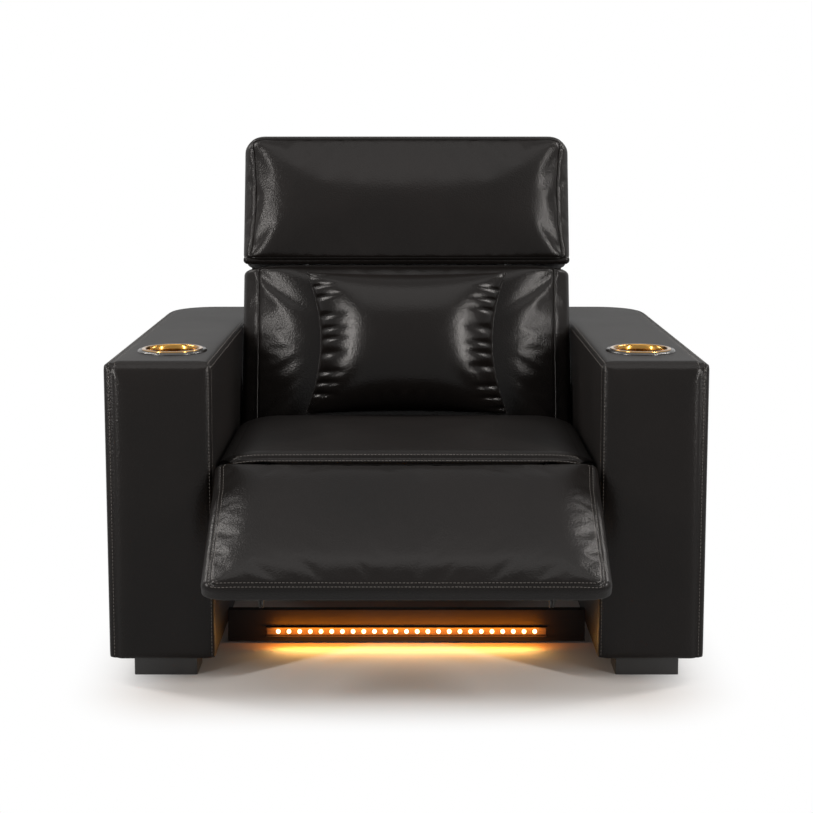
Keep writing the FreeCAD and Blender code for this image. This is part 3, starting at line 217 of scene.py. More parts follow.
def block(name, low, high, cell):
    """A cube between two corners, remeshed into an even net of squares."""
    bpy.ops.object.select_all(action="DESELECT")
    middle = [(a + b) / 2 for a, b in zip(low, high)]
    bpy.ops.mesh.primitive_cube_add(size=1.0, location=middle)
    piece = bpy.context.object
    piece.name = name
    piece.scale = [b - a for a, b in zip(low, high)]
    bpy.ops.object.transform_apply(location=True, rotation=True, scale=True)
    net = piece.modifiers.new("Net", "REMESH")
    net.mode = "VOXEL"
    net.voxel_size = cell
    bpy.ops.object.modifier_apply(modifier=net.name)
    return piece


def points_of(piece):
    """The mesh's points as rows of an array."""
    flat = np.empty(len(piece.data.vertices) * 3)
    piece.data.vertices.foreach_get("co", flat)
    return flat.reshape(-1, 3)


def move_points(piece, points):
    """Puts the mesh's points where the array says."""
    piece.data.vertices.foreach_set("co", points.ravel())
    piece.data.update()


def surface_of(piece):
    """A tree of the piece's faces, to lay seams on."""
    mesh = piece.data
    return BVHTree.FromPolygons([v.co for v in mesh.vertices], [p.vertices for p in mesh.polygons])


def spaced(path, pitch, closed=False):
    """Points at an even pitch along a path of points."""
    path = np.asarray(path, float)
    if closed:
        path = np.vstack([path, path[:1]])
    along = np.concatenate([[0.0], np.cumsum(np.linalg.norm(np.diff(path, axis=0), axis=1))])
    count = max(2, int(round(along[-1] / pitch)))
    at = np.linspace(0.0, along[-1], count + 1)
    if closed:
        at = at[:-1]
    return np.column_stack([np.interp(at, along, path[:, axis]) for axis in range(3)])


def pull_in(piece, path, depth, width):
    """Draws the leather in along a seam: a valley of that depth and half width."""
    points = points_of(piece)
    normals = np.empty(len(points) * 3)
    piece.data.vertices.foreach_get("normal", normals)
    normals = normals.reshape(-1, 3)
    seam = spaced(path, width / 3)
    low = seam.min(axis=0) - 3 * width
    high = seam.max(axis=0) + 3 * width
    near = np.flatnonzero(((points > low) & (points < high)).all(axis=1))
    nearest = np.full(len(near), 1e9)
    batch = 64
    for begin in range(0, len(seam), batch):
        gap = np.linalg.norm(points[near][:, None, :] - seam[None, begin:begin + batch, :], axis=2)
        nearest = np.minimum(nearest, gap.min(axis=1))
    points[near] -= normals[near] * (depth * np.exp(-(nearest / width) ** 2))[:, None]
    move_points(piece, points)


def stitch_row(name, surface, path, pitch=0.0062, length=0.0044, radius=0.00062, closed=False):
    """A row of stitches laid on a surface along a path, as one mesh of tapered half-round bars."""
    seam = spaced(path, pitch, closed)
    places = []
    for point in seam:
        hit = surface.find_nearest(Vector(point))
        places.append((hit[0], hit[1]))
    ring = [(math.cos(a), math.sin(a)) for a in (0.0, math.pi / 3, 2 * math.pi / 3, math.pi)]
    taper = ((0.0, 0.35), (0.18, 1.0), (0.82, 1.0), (1.0, 0.35))
    sunk = 0.0001
    vertices = []
    faces = []
    count = len(places)
    for index in range(count if closed else count - 1):
        here, normal = places[index]
        there = places[(index + 1) % count][0]
        tangent = there - here
        if tangent.length < 1e-6:
            continue
        tangent.normalize()
        side = normal.cross(tangent).normalized()
        base = len(vertices)
        for share, size in taper:
            middle = here + tangent * (length * share)
            for across, up in ring:
                rise = normal * (up * radius * size - sunk)
                vertices.append(middle + side * (across * radius * size) + rise)
        for step in range(3):
            for k in range(3):
                a = base + step * 4 + k
                faces.append((a, a + 4, a + 5, a + 1))
        faces.append((base, base + 1, base + 2, base + 3))
        faces.append((base + 15, base + 14, base + 13, base + 12))
        for step in range(3):
            a = base + step * 4
            faces.append((a, a + 3, a + 7, a + 4))
    mesh = bpy.data.meshes.new(name)
    mesh.from_pydata(vertices, [], faces)
    mesh.update()
    piece = bpy.data.objects.new(name, mesh)
    bpy.context.scene.collection.objects.link(piece)
    return piece


def padded_piece(piece, body, material, replaced):
    """A finished cushion: its look, its body and the CAD solid that it stands for."""
    dress(piece, body, material)
    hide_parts(*replaced)


def sewn(piece, body, material=thread):
    """Stitches or piping on a body."""
    dress(piece, body, material)


arm_low = np.array([0.3345, -0.32185, 0.045])
arm_high = np.array([0.5205, 0.54815, 0.568])
arm_corner = 0.104
cup_place = np.array([0.419, -0.17785])


def puff(distance, depth, reach):
    """How far a panel's surface lies below its middle, at a distance from its seam."""
    share = np.clip(1 - distance / reach, 0.0, 1.0)
    return depth * share ** 2.2


def arm_form(points):
    """A sharp arm block's points taken to the sewn, padded arm."""
    p = points.copy()
    centre = arm_high[:2] - arm_corner
    corner = (p[:, 0] > centre[0]) & (p[:, 1] > centre[1])
    out = p[corner][:, :2] - centre
    reach = np.abs(out).max(axis=1, keepdims=True)
    length = np.maximum(np.linalg.norm(out, axis=1, keepdims=True), 1e-9)
    p[corner, :2] = centre + out * reach / length
    x_in = p[:, 0] - arm_low[0]
    x_out = arm_high[0] - p[:, 0]
    y_front = p[:, 1] - arm_low[1]
    y_rear = arm_high[1] - p[:, 1]
    z_low = p[:, 2] - arm_low[2]
    z_top = arm_high[2] - p[:, 2]
    curve_out = arm_corner - np.linalg.norm(p[:, :2] - centre, axis=1)
    curve_gap = np.where(corner, curve_out, np.minimum(x_out, y_rear))
    front_gap = np.minimum.reduce([x_in, x_out, z_low * 3 + 0.02, z_top])
    top_gap = np.minimum.reduce([x_in, curve_gap, y_front])
    # For each panel: its axis and the way inwards, the gap to its seams, how deep its edge lies and how far
    # in that reaches, the distance behind its face and the depth at which it has faded.
    panels = ((1, 1, front_gap, 0.011, 0.050, y_front, 0.034),
              (2, -1, top_gap, 0.005, 0.026, z_top, 0.022),
              (0, -1, np.minimum(z_top, y_front), 0.004, 0.03, x_out, 0.05),
              (2, 1, x_out, 0.001, 0.02, z_low, 0.022))
    for axis, inwards, gap, depth, reach, behind, fade in panels:
        p[:, axis] += inwards * (puff(gap, depth, reach) * np.clip(1 - behind / fade, 0, 1) ** 2)
    return p


def sink_cup(points):
    """The well for the cup holder in the arm's top."""
    well_radius = 0.0535
    well_depth = 0.075
    gap = np.linalg.norm(points[:, :2] - cup_place, axis=1)
    inside = (gap < well_radius) & (points[:, 2] > 0.53)
    points[inside, 2] -= well_depth
    return points


arm = block("arm_cover_leather_left", arm_low, arm_high, cell=0.005)
move_points(arm, sink_cup(arm_form(points_of(arm))))


def arm_line(*corners):
    """A line on the sharp arm block, taken to the sewn arm."""
    return arm_form(spaced(corners, 0.01))


x0, y0, z0 = arm_low
x1, y1, z1 = arm_high
seam_out = x1 - 0.0135
seam_rear = x0 + 0.03
seam_low = z0 + 0.004
seam_high = z1 - 0.002
arm_seams = {
    "inner_upright": arm_line((x0, y0, seam_low), (x0, y0, seam_high)),
    "outer_upright": arm_line((seam_out, y0, seam_low), (seam_out, y0, seam_high)),
    "front_top": arm_line((x0, y0, z1), (seam_out, y0, z1)),
    "inner_top": arm_line((x0, y0, z1), (x0, y1, z1)),
    "outer_top": arm_line((seam_out, y0, z1), (seam_out, y1 - arm_corner, z1)),
    "rear_upright": arm_line((seam_rear, y1, seam_low), (seam_rear, y1, z1)),
}
for line in arm_seams.values():
    pull_in(arm, line, depth=0.0022, width=0.0042)
arm_surface = surface_of(arm)
arm_rows = []
side_step = 0.0048
shifts = {
    "inner_upright": [(side_step, -0.002, 0), (-0.002, side_step, 0)],
    "outer_upright": [(side_step, 0, 0)],
    "inner_top": [(side_step, 0, 0.002), (-0.002, 0, -side_step)],
    "outer_top": [(side_step, 0, 0), (-side_step, 0, 0)],
}
for name, offsets in shifts.items():
    for number, offset in enumerate(offsets):
        path = arm_seams[name] + np.array(offset)
        arm_rows.append(stitch_row(f"arm_stitches_{name}_{number}_left", arm_surface, path))


def joined(name, parts):
    """Several meshes made one piece."""
    bpy.ops.object.select_all(action="DESELECT")
    for part in parts:
        part.select_set(True)
    bpy.context.view_layer.objects.active = parts[0]
    bpy.ops.object.join()
    parts[0].name = name
    return parts[0]


def other_side(piece, name):
    """The mirror image on the other side of the seat, with its own mesh."""
    twin = piece.copy()
    twin.data = piece.data.copy()
    twin.name = name
    bpy.context.scene.collection.objects.link(twin)
    twin.data.transform(Matrix.Scale(-1.0, 4, (1, 0, 0)))
    twin.data.flip_normals()
    return twin


arm_stitches = joined("arm_stitches_left", arm_rows)
right_arm = other_side(arm, "arm_cover_leather_right")
sunk = points_of(right_arm)
pocket_y, pocket_z = -0.0918, 0.430
pocket_half_y, pocket_half_z = 0.069, 0.023
within_y = np.abs(sunk[:, 1] - pocket_y) < pocket_half_y
within_z = np.abs(sunk[:, 2] - pocket_z) < pocket_half_z
sunk[(sunk[:, 0] < -0.5) & within_y & within_z, 0] = -0.5125
move_points(right_arm, sunk)
for cover, node in ((arm, "arm_cover_left"), (right_arm, "arm_cover_right")):
    padded_piece(cover, "base", hide, [node])
for rows in (arm_stitches, other_side(arm_stitches, "arm_stitches_right")):
    sewn(rows, "base")

# Cup holders: spun brass cups, polished and lacquered gold, with a rolled lip, dropped into a dark moulded
# ring.
polished_brass, tree, shader, place = start("lacquered_polished_brass")
shader.inputs["Metallic"].default_value = 1.0
shader.inputs["Coat Weight"].default_value = 0.3
shader.inputs["Coat Roughness"].default_value = 0.08
spun = add(tree, "ShaderNodeMapping", {"Vector": place, "Scale": (30.0, 30.0, 700.0)})
spin_lines = add(tree, "ShaderNodeTexNoise", {"Vector": spun.outputs[0], "Scale": 1.0, "Detail": 3.0})
gold = blend_colours(tree, spin_lines.outputs["Fac"], "#805a20", "#a07a3a")
tree.links.new(gold, shader.inputs["Base Color"])
tree.links.new(between(tree, spin_lines.outputs["Fac"], 0.12, 0.26), shader.inputs["Roughness"])
ring_gloss, tree, shader, place = start("moulded_ring_satin")
fine = add(tree, "ShaderNodeTexNoise", {"Vector": place, "Scale": 800.0, "Detail": 2.0})
tree.links.new(blend_colours(tree, fine.outputs["Fac"], "#0b0a09", "#15120f"), shader.inputs["Base Color"])
tree.links.new(between(tree, fine.outputs["Fac"], 0.2, 0.32), shader.inputs["Roughness"])


def turned_piece(name, profile, centre):
    """A piece turned about an upright axis from a profile of radius and height."""
    bpy.ops.object.select_all(action="DESELECT")
    bpy.ops.mesh.primitive_plane_add(size=0.001, location=(0, 0, 0))
    piece = bpy.context.object
    piece.name = name
    mesh = piece.data
    mesh.clear_geometry()
    mesh.from_pydata([(r, 0, z) for r, z in profile], [(i, i + 1) for i in range(len(profile) - 1)], [])
    bpy.ops.object.mode_set(mode="EDIT")
    bpy.ops.mesh.select_all(action="SELECT")
    bpy.ops.mesh.spin(steps=64, angle=2 * math.pi, center=(0, 0, 0), axis=(0, 0, 1))
    bpy.ops.mesh.select_all(action="SELECT")
    bpy.ops.mesh.remove_doubles(threshold=0.00005)
    bpy.ops.mesh.normals_make_consistent(inside=False)
    bpy.ops.object.mode_set(mode="OBJECT")
    mesh.transform(Matrix.Translation(centre))
    bpy.ops.object.shade_smooth_by_angle(angle=math.radians(40))
    return piece


cup_profile = [
    (0.0, 0.5012), (0.030, 0.5012), (0.0415, 0.5020), (0.0450, 0.5055), (0.0460, 0.5110),
    (0.0461, 0.5640), (0.0466, 0.5690), (0.0480, 0.5722), (0.0500, 0.5735), (0.0525, 0.5735),
    (0.0540, 0.5728), (0.0545, 0.5717), (0.0545, 0.5715), (0.0474, 0.5715), (0.0472, 0.5040),
    (0.0440, 0.5005), (0.0, 0.5000),
]
ring_profile = [
    (0.0475, 0.5681), (0.0475, 0.5714), (0.0560, 0.5714), (0.0575, 0.5721), (0.0596, 0.5714),
    (0.0612, 0.5700), (0.0620, 0.5685), (0.0620, 0.5681), (0.0475, 0.5681),
]
for side, sign in (("left", 1), ("right", -1)):
    centre = Vector((sign * cup_place[0], cup_place[1], 0.0))
    cup = turned_piece(f"cup_holder_brass_{side}", cup_profile, centre)
    dress(cup, "base", polished_brass)
    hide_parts(f"cup_holder_{side}")
    ring = turned_piece(f"cup_ring_moulded_{side}", ring_profile, centre)
    dress(ring, "base", ring_gloss)
    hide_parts(f"cup_ring_{side}")

# Push buttons: moulded ABS caps with an eroded texture, finger-polished in the middle.
button_abs, tree, shader, place = start("moulded_abs_buttons")
fine = add(tree, "ShaderNodeTexNoise", {"Vector": place, "Scale": 1100.0, "Detail": 2.0})
rubbed = add(tree, "ShaderNodeTexNoise", {"Vector": place, "Scale": 60.0})
tree.links.new(blend_colours(tree, rubbed.outputs["Fac"], "#1b1c1d", "#2c2d2e"), shader.inputs["Base Color"])
tree.links.new(between(tree, rubbed.outputs["Fac"], 0.3, 0.5), shader.inputs["Roughness"])
raised = add(tree, "ShaderNodeBump", {"Height": fine.outputs["Fac"], "Strength": 0.2, "Distance": 0.0002})
tree.links.new(raised.outputs[0], shader.inputs["Normal"])
finish_nodes(["footrest_raise_button", "footrest_lower_button", "back_recline_button", "back_raise_button"],
             button_abs)

# Seat cushion: moulded foam under one crowned leather panel. A seam with two rows of top stitches runs along
# its front edge, its sides fall away to the arms, and two slots below its lip let the footrest's brackets pass.


def rounded(points, low, high, radius):
    """A sharp block's points drawn in to round edges; the radius may differ by axis and by point."""
    core = np.clip(points, low + radius, high - radius)
    out = (points - core) / radius
    length = np.maximum(np.linalg.norm(out, axis=1, keepdims=True), 1e-9)
    reach = np.abs(out).max(axis=1, keepdims=True)
    return core + out * radius * reach / length


def smoother(piece):
    """One level of subdivision, applied."""
    bpy.ops.object.select_all(action="DESELECT")
    bpy.context.view_layer.objects.active = piece
    finer = piece.modifiers.new("Finer", "SUBSURF")
    finer.levels = 1
    finer.render_levels = 1
    bpy.ops.object.modifier_apply(modifier=finer.name)


def swell(piece, held):
    """Foam fills the cover: the leather swells between the points that are held, by the limit at most."""
    limit = 0.012
    slack = 0.004
    frames = 20
    before = points_of(piece)
    group = piece.vertex_groups.new(name="held")
    group.add([int(i) for i in np.flatnonzero(held)], 1.0, "REPLACE")
    cloth = piece.modifiers.new("Filling", "CLOTH")
    cover = cloth.settings
    cover.quality = 5
    cover.mass = 0.3
    cover.tension_stiffness = 12.0
    cover.compression_stiffness = 12.0
    cover.shear_stiffness = 4.0
    cover.bending_stiffness = 1.2
    cover.use_pressure = True
    cover.uniform_pressure_force = 1.0
    cover.vertex_group_mass = group.name
    cover.shrink_min = -slack
    cover.effector_weights.gravity = 0.0
    cloth.collision_settings.use_collision = False
    cloth.point_cache.frame_start = 1
    cloth.point_cache.frame_end = frames
    scene = bpy.context.scene
    for number in range(1, frames + 1):
        scene.frame_set(number)
    filled = piece.evaluated_get(bpy.context.evaluated_depsgraph_get())
    after = points_of(filled)
    piece.modifiers.remove(cloth)
    piece.vertex_groups.remove(group)
    scene.frame_set(1)
    move = after - before
    size = np.maximum(np.linalg.norm(move, axis=1, keepdims=True), 1e-9)
    move_points(piece, before + move * np.tanh(size / limit) * limit / size)


seat_low = np.array([-0.331, -0.29585, 0.2985])
seat_high = np.array([0.331, 0.0985, 0.404])
seat_lip = 0.384
bracket_x = 0.2515
bracket_slot = 0.0135


def seat_form(points):
    """A sharp block's points taken to the crowned seat."""
    p = rounded(points, seat_low - [0, 0, 1], seat_high, np.array([0.085, 0.026, 0.030]))
    share = np.clip((p[:, 2] - 0.36) / 0.044, 0, 1)
    across = 1 - (p[:, 0] / seat_high[0]) ** 2
    along = 1 - ((p[:, 1] + 0.0985) / 0.1975) ** 2
    p[:, 2] += 0.010 * share * across * np.clip(along, 0, 1)
    under = points[:, 2] <= seat_lip
    p[under, 1] = np.maximum(p[under, 1], -0.2555)
    slot = under & (np.abs(np.abs(p[:, 0]) - bracket_x) < bracket_slot)
    p[slot, 1] = np.maximum(p[slot, 1], -0.185)
    return p


seat = block("seat_cushion_leather", seat_low, seat_high, cell=0.006)
sharp = points_of(seat)
shape = seat_form(sharp)
seam_end = 0.385
held = (shape[:, 2] < seam_end) | (np.abs(sharp[:, 1] - seat_low[1]) < 0.004)
move_points(seat, shape)
swell(seat, held)
smoother(seat)
x0, y0, x1, z1 = seat_low[0], seat_low[1], seat_high[0], seat_high[2]
seat_seam = seat_form(spaced([(x0, y0, seam_end), (x0, y0, z1), (x1, y0, z1), (x1, y0, seam_end)], 0.008))
pull_in(seat, seat_seam, depth=0.002, width=0.004)
seat_surface = surface_of(seat)
padded_piece(seat, "base", hide, ["seat_cushion"])
sewn(stitch_row("seat_stitches_upper", seat_surface, seat_seam + np.array([0, 0.005, 0.004])), "base")
sewn(stitch_row("seat_stitches_lower", seat_surface, seat_seam + np.array([0, -0.002, -0.0055])), "base")


# Footrest: foam on a plywood board under one leather panel, sewn to a boxing strip along its rim with a
# top-stitched seam. Its upper edge is tight and its lower corners are rounded.


def leaned(y, z, along, outward):
    """The matrix from across, along and out of a padded face to the seat's own axes."""
    return Matrix(((1, 0, 0, 0), (0, along[0], outward[0], y), (0, along[1], outward[1], z), (0, 0, 0, 1)))


def pad_form(points, low, high, radius, crown, middle=0.0):
    """A sharp block's points taken to a crowned pad with a flat back; the third axis points out of it."""
    p = rounded(points, low - [0, 0, 1], high, radius)
    centre = (low + high) / 2
    half = (high - low) / 2
    out = np.clip((p[:, 2] - low[2]) / (high[2] - low[2]), 0, 1)
    across = 1 - ((p[:, 0] - centre[0]) / half[0]) ** 2
    along = 1 - ((p[:, 1] - centre[1] - middle) / (half[1] + abs(middle))) ** 2
    p[:, 2] += crown * out * np.clip(across, 0, 1) * np.clip(along, 0, 1)
    return p


slope = math.radians(31.0)
footrest_place = leaned(0.030 - 0.32185, 0.372, (-math.cos(slope), -math.sin(slope)),
                        (-math.sin(slope), math.cos(slope)))
foot_low = np.array([-0.330, 0.0045, -0.0109])
foot_high = np.array([0.330, 0.290, 0.026])


def foot_form(points):
    """A sharp block's points taken to the footrest: its upper edge stays tight under the seat's lip."""
    share = np.clip((points[:, 1:2] - foot_low[1]) / 0.06, 0, 1)
    radius = np.hstack([0.030 + 0.015 * share, 0.005 + 0.011 * share, 0.007 + 0.012 * share])
    return pad_form(points, foot_low, foot_high, radius, 0.004)


footrest = block("footrest_leather", foot_low, foot_high, cell=0.005)
sharp = points_of(footrest)
held = sharp[:, 2] < foot_high[2] - 0.006
move_points(footrest, foot_form(sharp))
swell(footrest, held)
smoother(footrest)
x, u0, u1, v = foot_high[0], foot_low[1], foot_high[1], foot_high[2]
rim = foot_form(spaced([(-x, u0, v), (-x, u1, v), (x, u1, v), (x, u0, v)], 0.006))
pull_in(footrest, rim, depth=0.0016, width=0.0035)
surface = surface_of(footrest)
inner_rim = rim * [0.984, 0.984, 1.0] + np.array([0, 0.001, 0.002])
rows = [stitch_row("footrest_stitches", surface, rim + np.array([0, 0, -0.0045])),
        stitch_row("footrest_stitches_upper", surface, inner_rim)]
rows = joined("footrest_stitches", rows)
for piece in (footrest, rows):
    piece.data.transform(footrest_place)
padded_piece(footrest, "footrest", hide, ["footrest_cushion"])
sewn(rows, "footrest")

# Back cushion: a deep foam block, crowned in the middle and well rounded at its sides, with a piped seam
# along the sides and the top of its front panel.


def welt(name, surface, path, radius, closed=False, lift=0.35):
    """A piped seam: a thin leather roll lying in its seam along a path."""
    line = spaced(path, radius * 2.2, closed)
    curve = bpy.data.curves.new(name, "CURVE")
    curve.dimensions = "3D"
    curve.bevel_depth = radius
    curve.bevel_resolution = 2
    spline = curve.splines.new("POLY")
    spline.points.add(len(line) - 1)
    for point, target in zip(spline.points, line):
        where = target
        if surface:
            hit = surface.find_nearest(Vector(target))
            where = hit[0] + hit[1] * (radius * lift)
        point.co = (*where, 1.0)
    spline.use_cyclic_u = closed
    rod = bpy.data.objects.new(name + "_line", curve)
    bpy.context.scene.collection.objects.link(rod)
    bpy.context.view_layer.update()
    mesh = bpy.data.meshes.new_from_object(rod.evaluated_get(bpy.context.evaluated_depsgraph_get()))
    bpy.data.objects.remove(rod)
    piece = bpy.data.objects.new(name, mesh)
    bpy.context.scene.collection.objects.link(piece)
    return piece


lean = math.radians(16.0)
back_place = leaned(0.412 - 0.32185, 0.330, (math.sin(lean), math.cos(lean)),
                    (-math.cos(lean), math.sin(lean)))
back_low = np.array([-0.331, 0.0005, -0.1249])
back_high = np.array([0.331, 0.3815, -0.008])
back_round = np.array([0.105, 0.012, 0.050])
back_crown = 0.010
free_depth = 0.03
piping_radius = 0.0019
back = block("back_cushion_leather", back_low, back_high, cell=0.007)
sharp = points_of(back)
held = (sharp[:, 2] < back_high[2] - free_depth) | (sharp[:, 1] > back_high[1] - 0.004)
move_points(back, pad_form(sharp, back_low, back_high, back_round, back_crown))
swell(back, held)
smoother(back)
x, u0, u1, v = back_high[0], back_low[1], back_high[1], back_high[2]
rim = spaced([(-x, u0, v), (-x, u1, v), (x, u1, v), (x, u0, v)], 0.006)
rim = pad_form(rim, back_low, back_high, back_round, back_crown)
pull_in(back, rim, depth=0.002, width=0.0045)
surface = surface_of(back)
piping = welt("back_piping", surface, rim, piping_radius)
for piece in (back, piping):
    piece.data.transform(back_place)
padded_piece(back, "back", hide, ["back_cushion"])
sewn(piping, "back", hide)

# Headrest: the same foam and leather, with a crowned face, larger rounds at its top than at its bottom and
# piping all round.
head_low = np.array([-0.331, 0.3872, -0.1249])
head_high = np.array([0.331, 0.650, -0.006])


def head_form(points):
    """A sharp block's points taken to the headrest: larger rounds at its top than at its bottom."""
    high_share = np.clip((points[:, 1:2] - head_low[1]) / (head_high[1] - head_low[1]), 0, 1)
    middle = 1 - (2 * high_share - 1) ** 2
    radius = np.hstack([0.040 + 0.040 * middle, 0.010 + 0.026 * high_share, np.full_like(middle, 0.034)])
    return pad_form(points, head_low, head_high, radius, 0.012)


headrest = block("headrest_leather", head_low, head_high, cell=0.006)
sharp = points_of(headrest)
ends = (sharp[:, 1] > head_high[1] - 0.004) | (sharp[:, 1] < head_low[1] + 0.004)
held = (sharp[:, 2] < head_high[2] - free_depth) | ends
move_points(headrest, head_form(sharp))
swell(headrest, held)
smoother(headrest)
x, u0, u1, v = head_high[0], head_low[1], head_high[1], head_high[2]
rim = head_form(spaced([(-x, u0, v), (-x, u1, v), (x, u1, v), (x, u0, v)], 0.006, closed=True))
pull_in(headrest, rim, depth=0.002, width=0.0045)
surface = surface_of(headrest)
piping = welt("headrest_piping", surface, rim, piping_radius, closed=True)
for piece in (headrest, piping):
    piece.data.transform(back_place)
padded_piece(headrest, "headrest", hide, ["headrest_cushion"])
sewn(piping, "headrest", hide)

# Covered roll round the headrest's hinges: leather over a thin foam tube, gathered into small even folds.
roll_place = back_place @ Vector((0, 0.391, -0.032))
roll_high = np.array([0.3305, 0.0092, 0.0092])
roll = block("hinge_roll_leather", -roll_high, roll_high, cell=0.0026)
points = rounded(points_of(roll), -roll_high, roll_high, np.array([0.0090, 0.0090, 0.0090]))
fold_pitch = 0.019
ripple = 1 - 0.05 * (0.5 + 0.5 * np.cos(points[:, 0:1] * 2 * math.pi / fold_pitch))
points[:, 1:] *= ripple
move_points(roll, points)
roll.data.transform(Matrix.Translation(roll_place))
padded_piece(roll, "back", hide, ["hinge_roll"])

# Rear covers of the back and the headrest: leather over thin foam on the boards, seamed round their rims.
cover_half = 0.3215
cover_crown = 0.004


def rear_cover(name, u0, u1, body, node, top_round):
    """A thin padded cover behind a board."""
    low = np.array([-cover_half, u0, -0.1749])
    high = np.array([cover_half, u1, -0.1401])
    piece = block(name, low, high, cell=0.007)
    turn = np.array([1.0, 1.0, -1.0])
    mirrored_low = np.array([low[0], low[1], -high[2]])
    mirrored_high = np.array([high[0], high[1], -low[2]])
    radius = np.array([0.016, top_round, 0.014])
    form = pad_form(points_of(piece) * turn, mirrored_low, mirrored_high, radius, cover_crown)
    move_points(piece, form * turn)
    smoother(piece)
    v = mirrored_high[2]
    x = cover_half
    rim = spaced([(-x, u0, v), (-x, u1, v), (x, u1, v), (x, u0, v)], 0.008, closed=True)
    rim = pad_form(rim, mirrored_low, mirrored_high, radius, cover_crown) * turn
    pull_in(piece, rim, depth=0.0016, width=0.0045)
    rows = stitch_row(name + "_stitches", surface_of(piece), rim * [0.982, 1.0, 1.0], closed=True)
    for part in (piece, rows):
        part.data.transform(back_place)
    padded_piece(piece, body, hide, [node])
    sewn(rows, body)


rear_cover("back_rear_cover_leather", 0.0125, 0.3815, "back", "back_rear_cover", 0.014)
rear_cover("headrest_rear_cover_leather", 0.3895, 0.6435, "headrest", "headrest_rear_cover", 0.018)

# Lumbar pillow: two panels of softer, glossier leather round a loose fibre filling. The side seams are drawn
# in and gathered, which throws pleats towards the middle; thin piping follows each side.
soft_hide = leather("smooth_glazed_leather", pebble_mm=2.6, rough_low=0.14, rough_high=0.26, relief=0.35)
pillow_half = 0.198
pillow_waist = 0.029
pillow_foot = 0.072
pillow_height = 0.282
pillow_middle = 0.027
pillow_front = 0.074
pillow_rear = 0.0266
pleat_length = 0.058
pleat_count = 5.2
pleat_depth = 0.0072
fan_pitch = 0.017
fan_depth = 0.0022


def pillow_side(share):
    """Half of the pillow's width at a height, from -1 at its foot to 1 at its top."""
    return pillow_half - pillow_waist * (1 - share ** 2)


def pillow_form(points):
    """A flat sheet's points, in shares across and along and a side of 1 or -1, taken to the filled pillow."""
    across, along, face = points[:, 0], points[:, 1], points[:, 2]
    half = pillow_side(along)
    x = across * half
    dip = 0.006 * (1 - across ** 2)
    u = pillow_foot + pillow_height * (along + 1) / 2 - np.sign(along) * dip * np.abs(along) ** 4
    edge_u = np.clip(1 - along ** 2, 0, 1)
    edge_x = np.clip(1 - across ** 2, 0, 1)
    plump = edge_u ** 0.48 * edge_x ** 0.62
    front = face > 0
    height = np.where(front, pillow_front * plump ** 0.92, pillow_rear * np.minimum(1, plump * 1.5))
    gap = (1 - np.abs(across)) * half
    fade = np.clip(1 - gap / pleat_length, 0, 1) ** 1.2 * np.clip(gap / 0.005, 0, 1)
    row = along * (1 - 0.2 * gap / half) * pleat_count + 0.22 * np.sin(along * 9 + np.sign(across))
    crease = np.exp(-((row - np.round(row)) / 0.17) ** 2)
    height -= np.where(front, pleat_depth, 0.002) * fade * (crease - 0.3) * edge_u ** 0.3
    low_gap = np.clip((along + 1) / 0.28, 0, 1)
    fan = np.cos(across * half / fan_pitch * math.pi + 0.6)
    height += np.where(front, fan_depth, 0.0) * np.sin(math.pi * low_gap) * fan * np.exp(-(across / 0.3) ** 2)
    return np.column_stack([x, u, pillow_middle + np.where(front, 1.0, -1.0) * height])


bpy.ops.object.select_all(action="DESELECT")
bpy.ops.mesh.primitive_grid_add(x_subdivisions=150, y_subdivisions=110, size=2.0)
pillow = bpy.context.object
pillow.name = "lumbar_pillow_leather"
bpy.ops.object.duplicate()
rear_panel_sheet = bpy.context.object
for sheet, side in ((pillow, 1.0), (rear_panel_sheet, -1.0)):
    flat = points_of(sheet)
    eased = np.sin(flat[:, :2] * math.pi / 2)
    move_points(sheet, pillow_form(np.column_stack([eased, np.full(len(flat), side)])))
rear_panel_sheet.data.flip_normals()
pillow = joined("lumbar_pillow_leather", [pillow, rear_panel_sheet])
bpy.context.view_layer.objects.active = pillow
bpy.ops.object.mode_set(mode="EDIT")
bpy.ops.mesh.select_all(action="SELECT")
bpy.ops.mesh.remove_doubles(threshold=0.0002)
bpy.ops.mesh.normals_make_consistent(inside=False)
bpy.ops.object.mode_set(mode="OBJECT")
shares = np.linspace(-1, 1, 60)
piping_parts = []
for sign in (-1, 1):
    side_edge = np.full(len(shares), float(sign))
    line = pillow_form(np.column_stack([side_edge, shares, np.ones(len(shares))]))
    line[:, 2] = pillow_middle
    piping_parts.append(welt(f"pillow_piping_{sign}", None, line, radius=0.0016))
piping = joined("pillow_piping", piping_parts)
for piece in (pillow, piping):
    piece.data.transform(back_place)
padded_piece(pillow, "pillow", soft_hide, ["lumbar_pillow"])
sewn(piping, "pillow", soft_hide)

# Apron under the seat: a board wrapped in black leather cloth, which the LED strip lights amber.
board_wrap = leather("vinyl_board_wrap", pebble_mm=1.8, rough_low=0.4, rough_high=0.55, relief=0.2)
finish_nodes(["front_apron"], board_wrap)

# Boards of the back and the headrest: their edges show between the cushions and the rear covers, so they are
# wrapped in the same black cloth.
finish_nodes(["back_board", "headrest_board"], board_wrap)

# Rear panel: plywood wrapped in the same leather as the arms.
finish_nodes(["rear_panel"], hide)

# LED strip: a row of amber LEDs, domed, on a flexible board in a dark anodised channel. The domes shine, and
# the board between them carries a painted glow of their light, which rises and falls along the strip.
lamp_glow, tree, shader, place = start("amber_led_dome")
spot = add(tree, "ShaderNodeTexNoise", {"Vector": place, "Scale": 300.0})
shader.inputs["Base Color"].default_value = linear("#ffdca0")
warm_light = blend_colours(tree, spot.outputs["Fac"], "#ffd9a0", "#fff0d0")
tree.links.new(warm_light, shader.inputs["Emission Color"])
shader.inputs["Emission Strength"].default_value = 3.0
finish_nodes(["led_lamps"], lamp_glow)

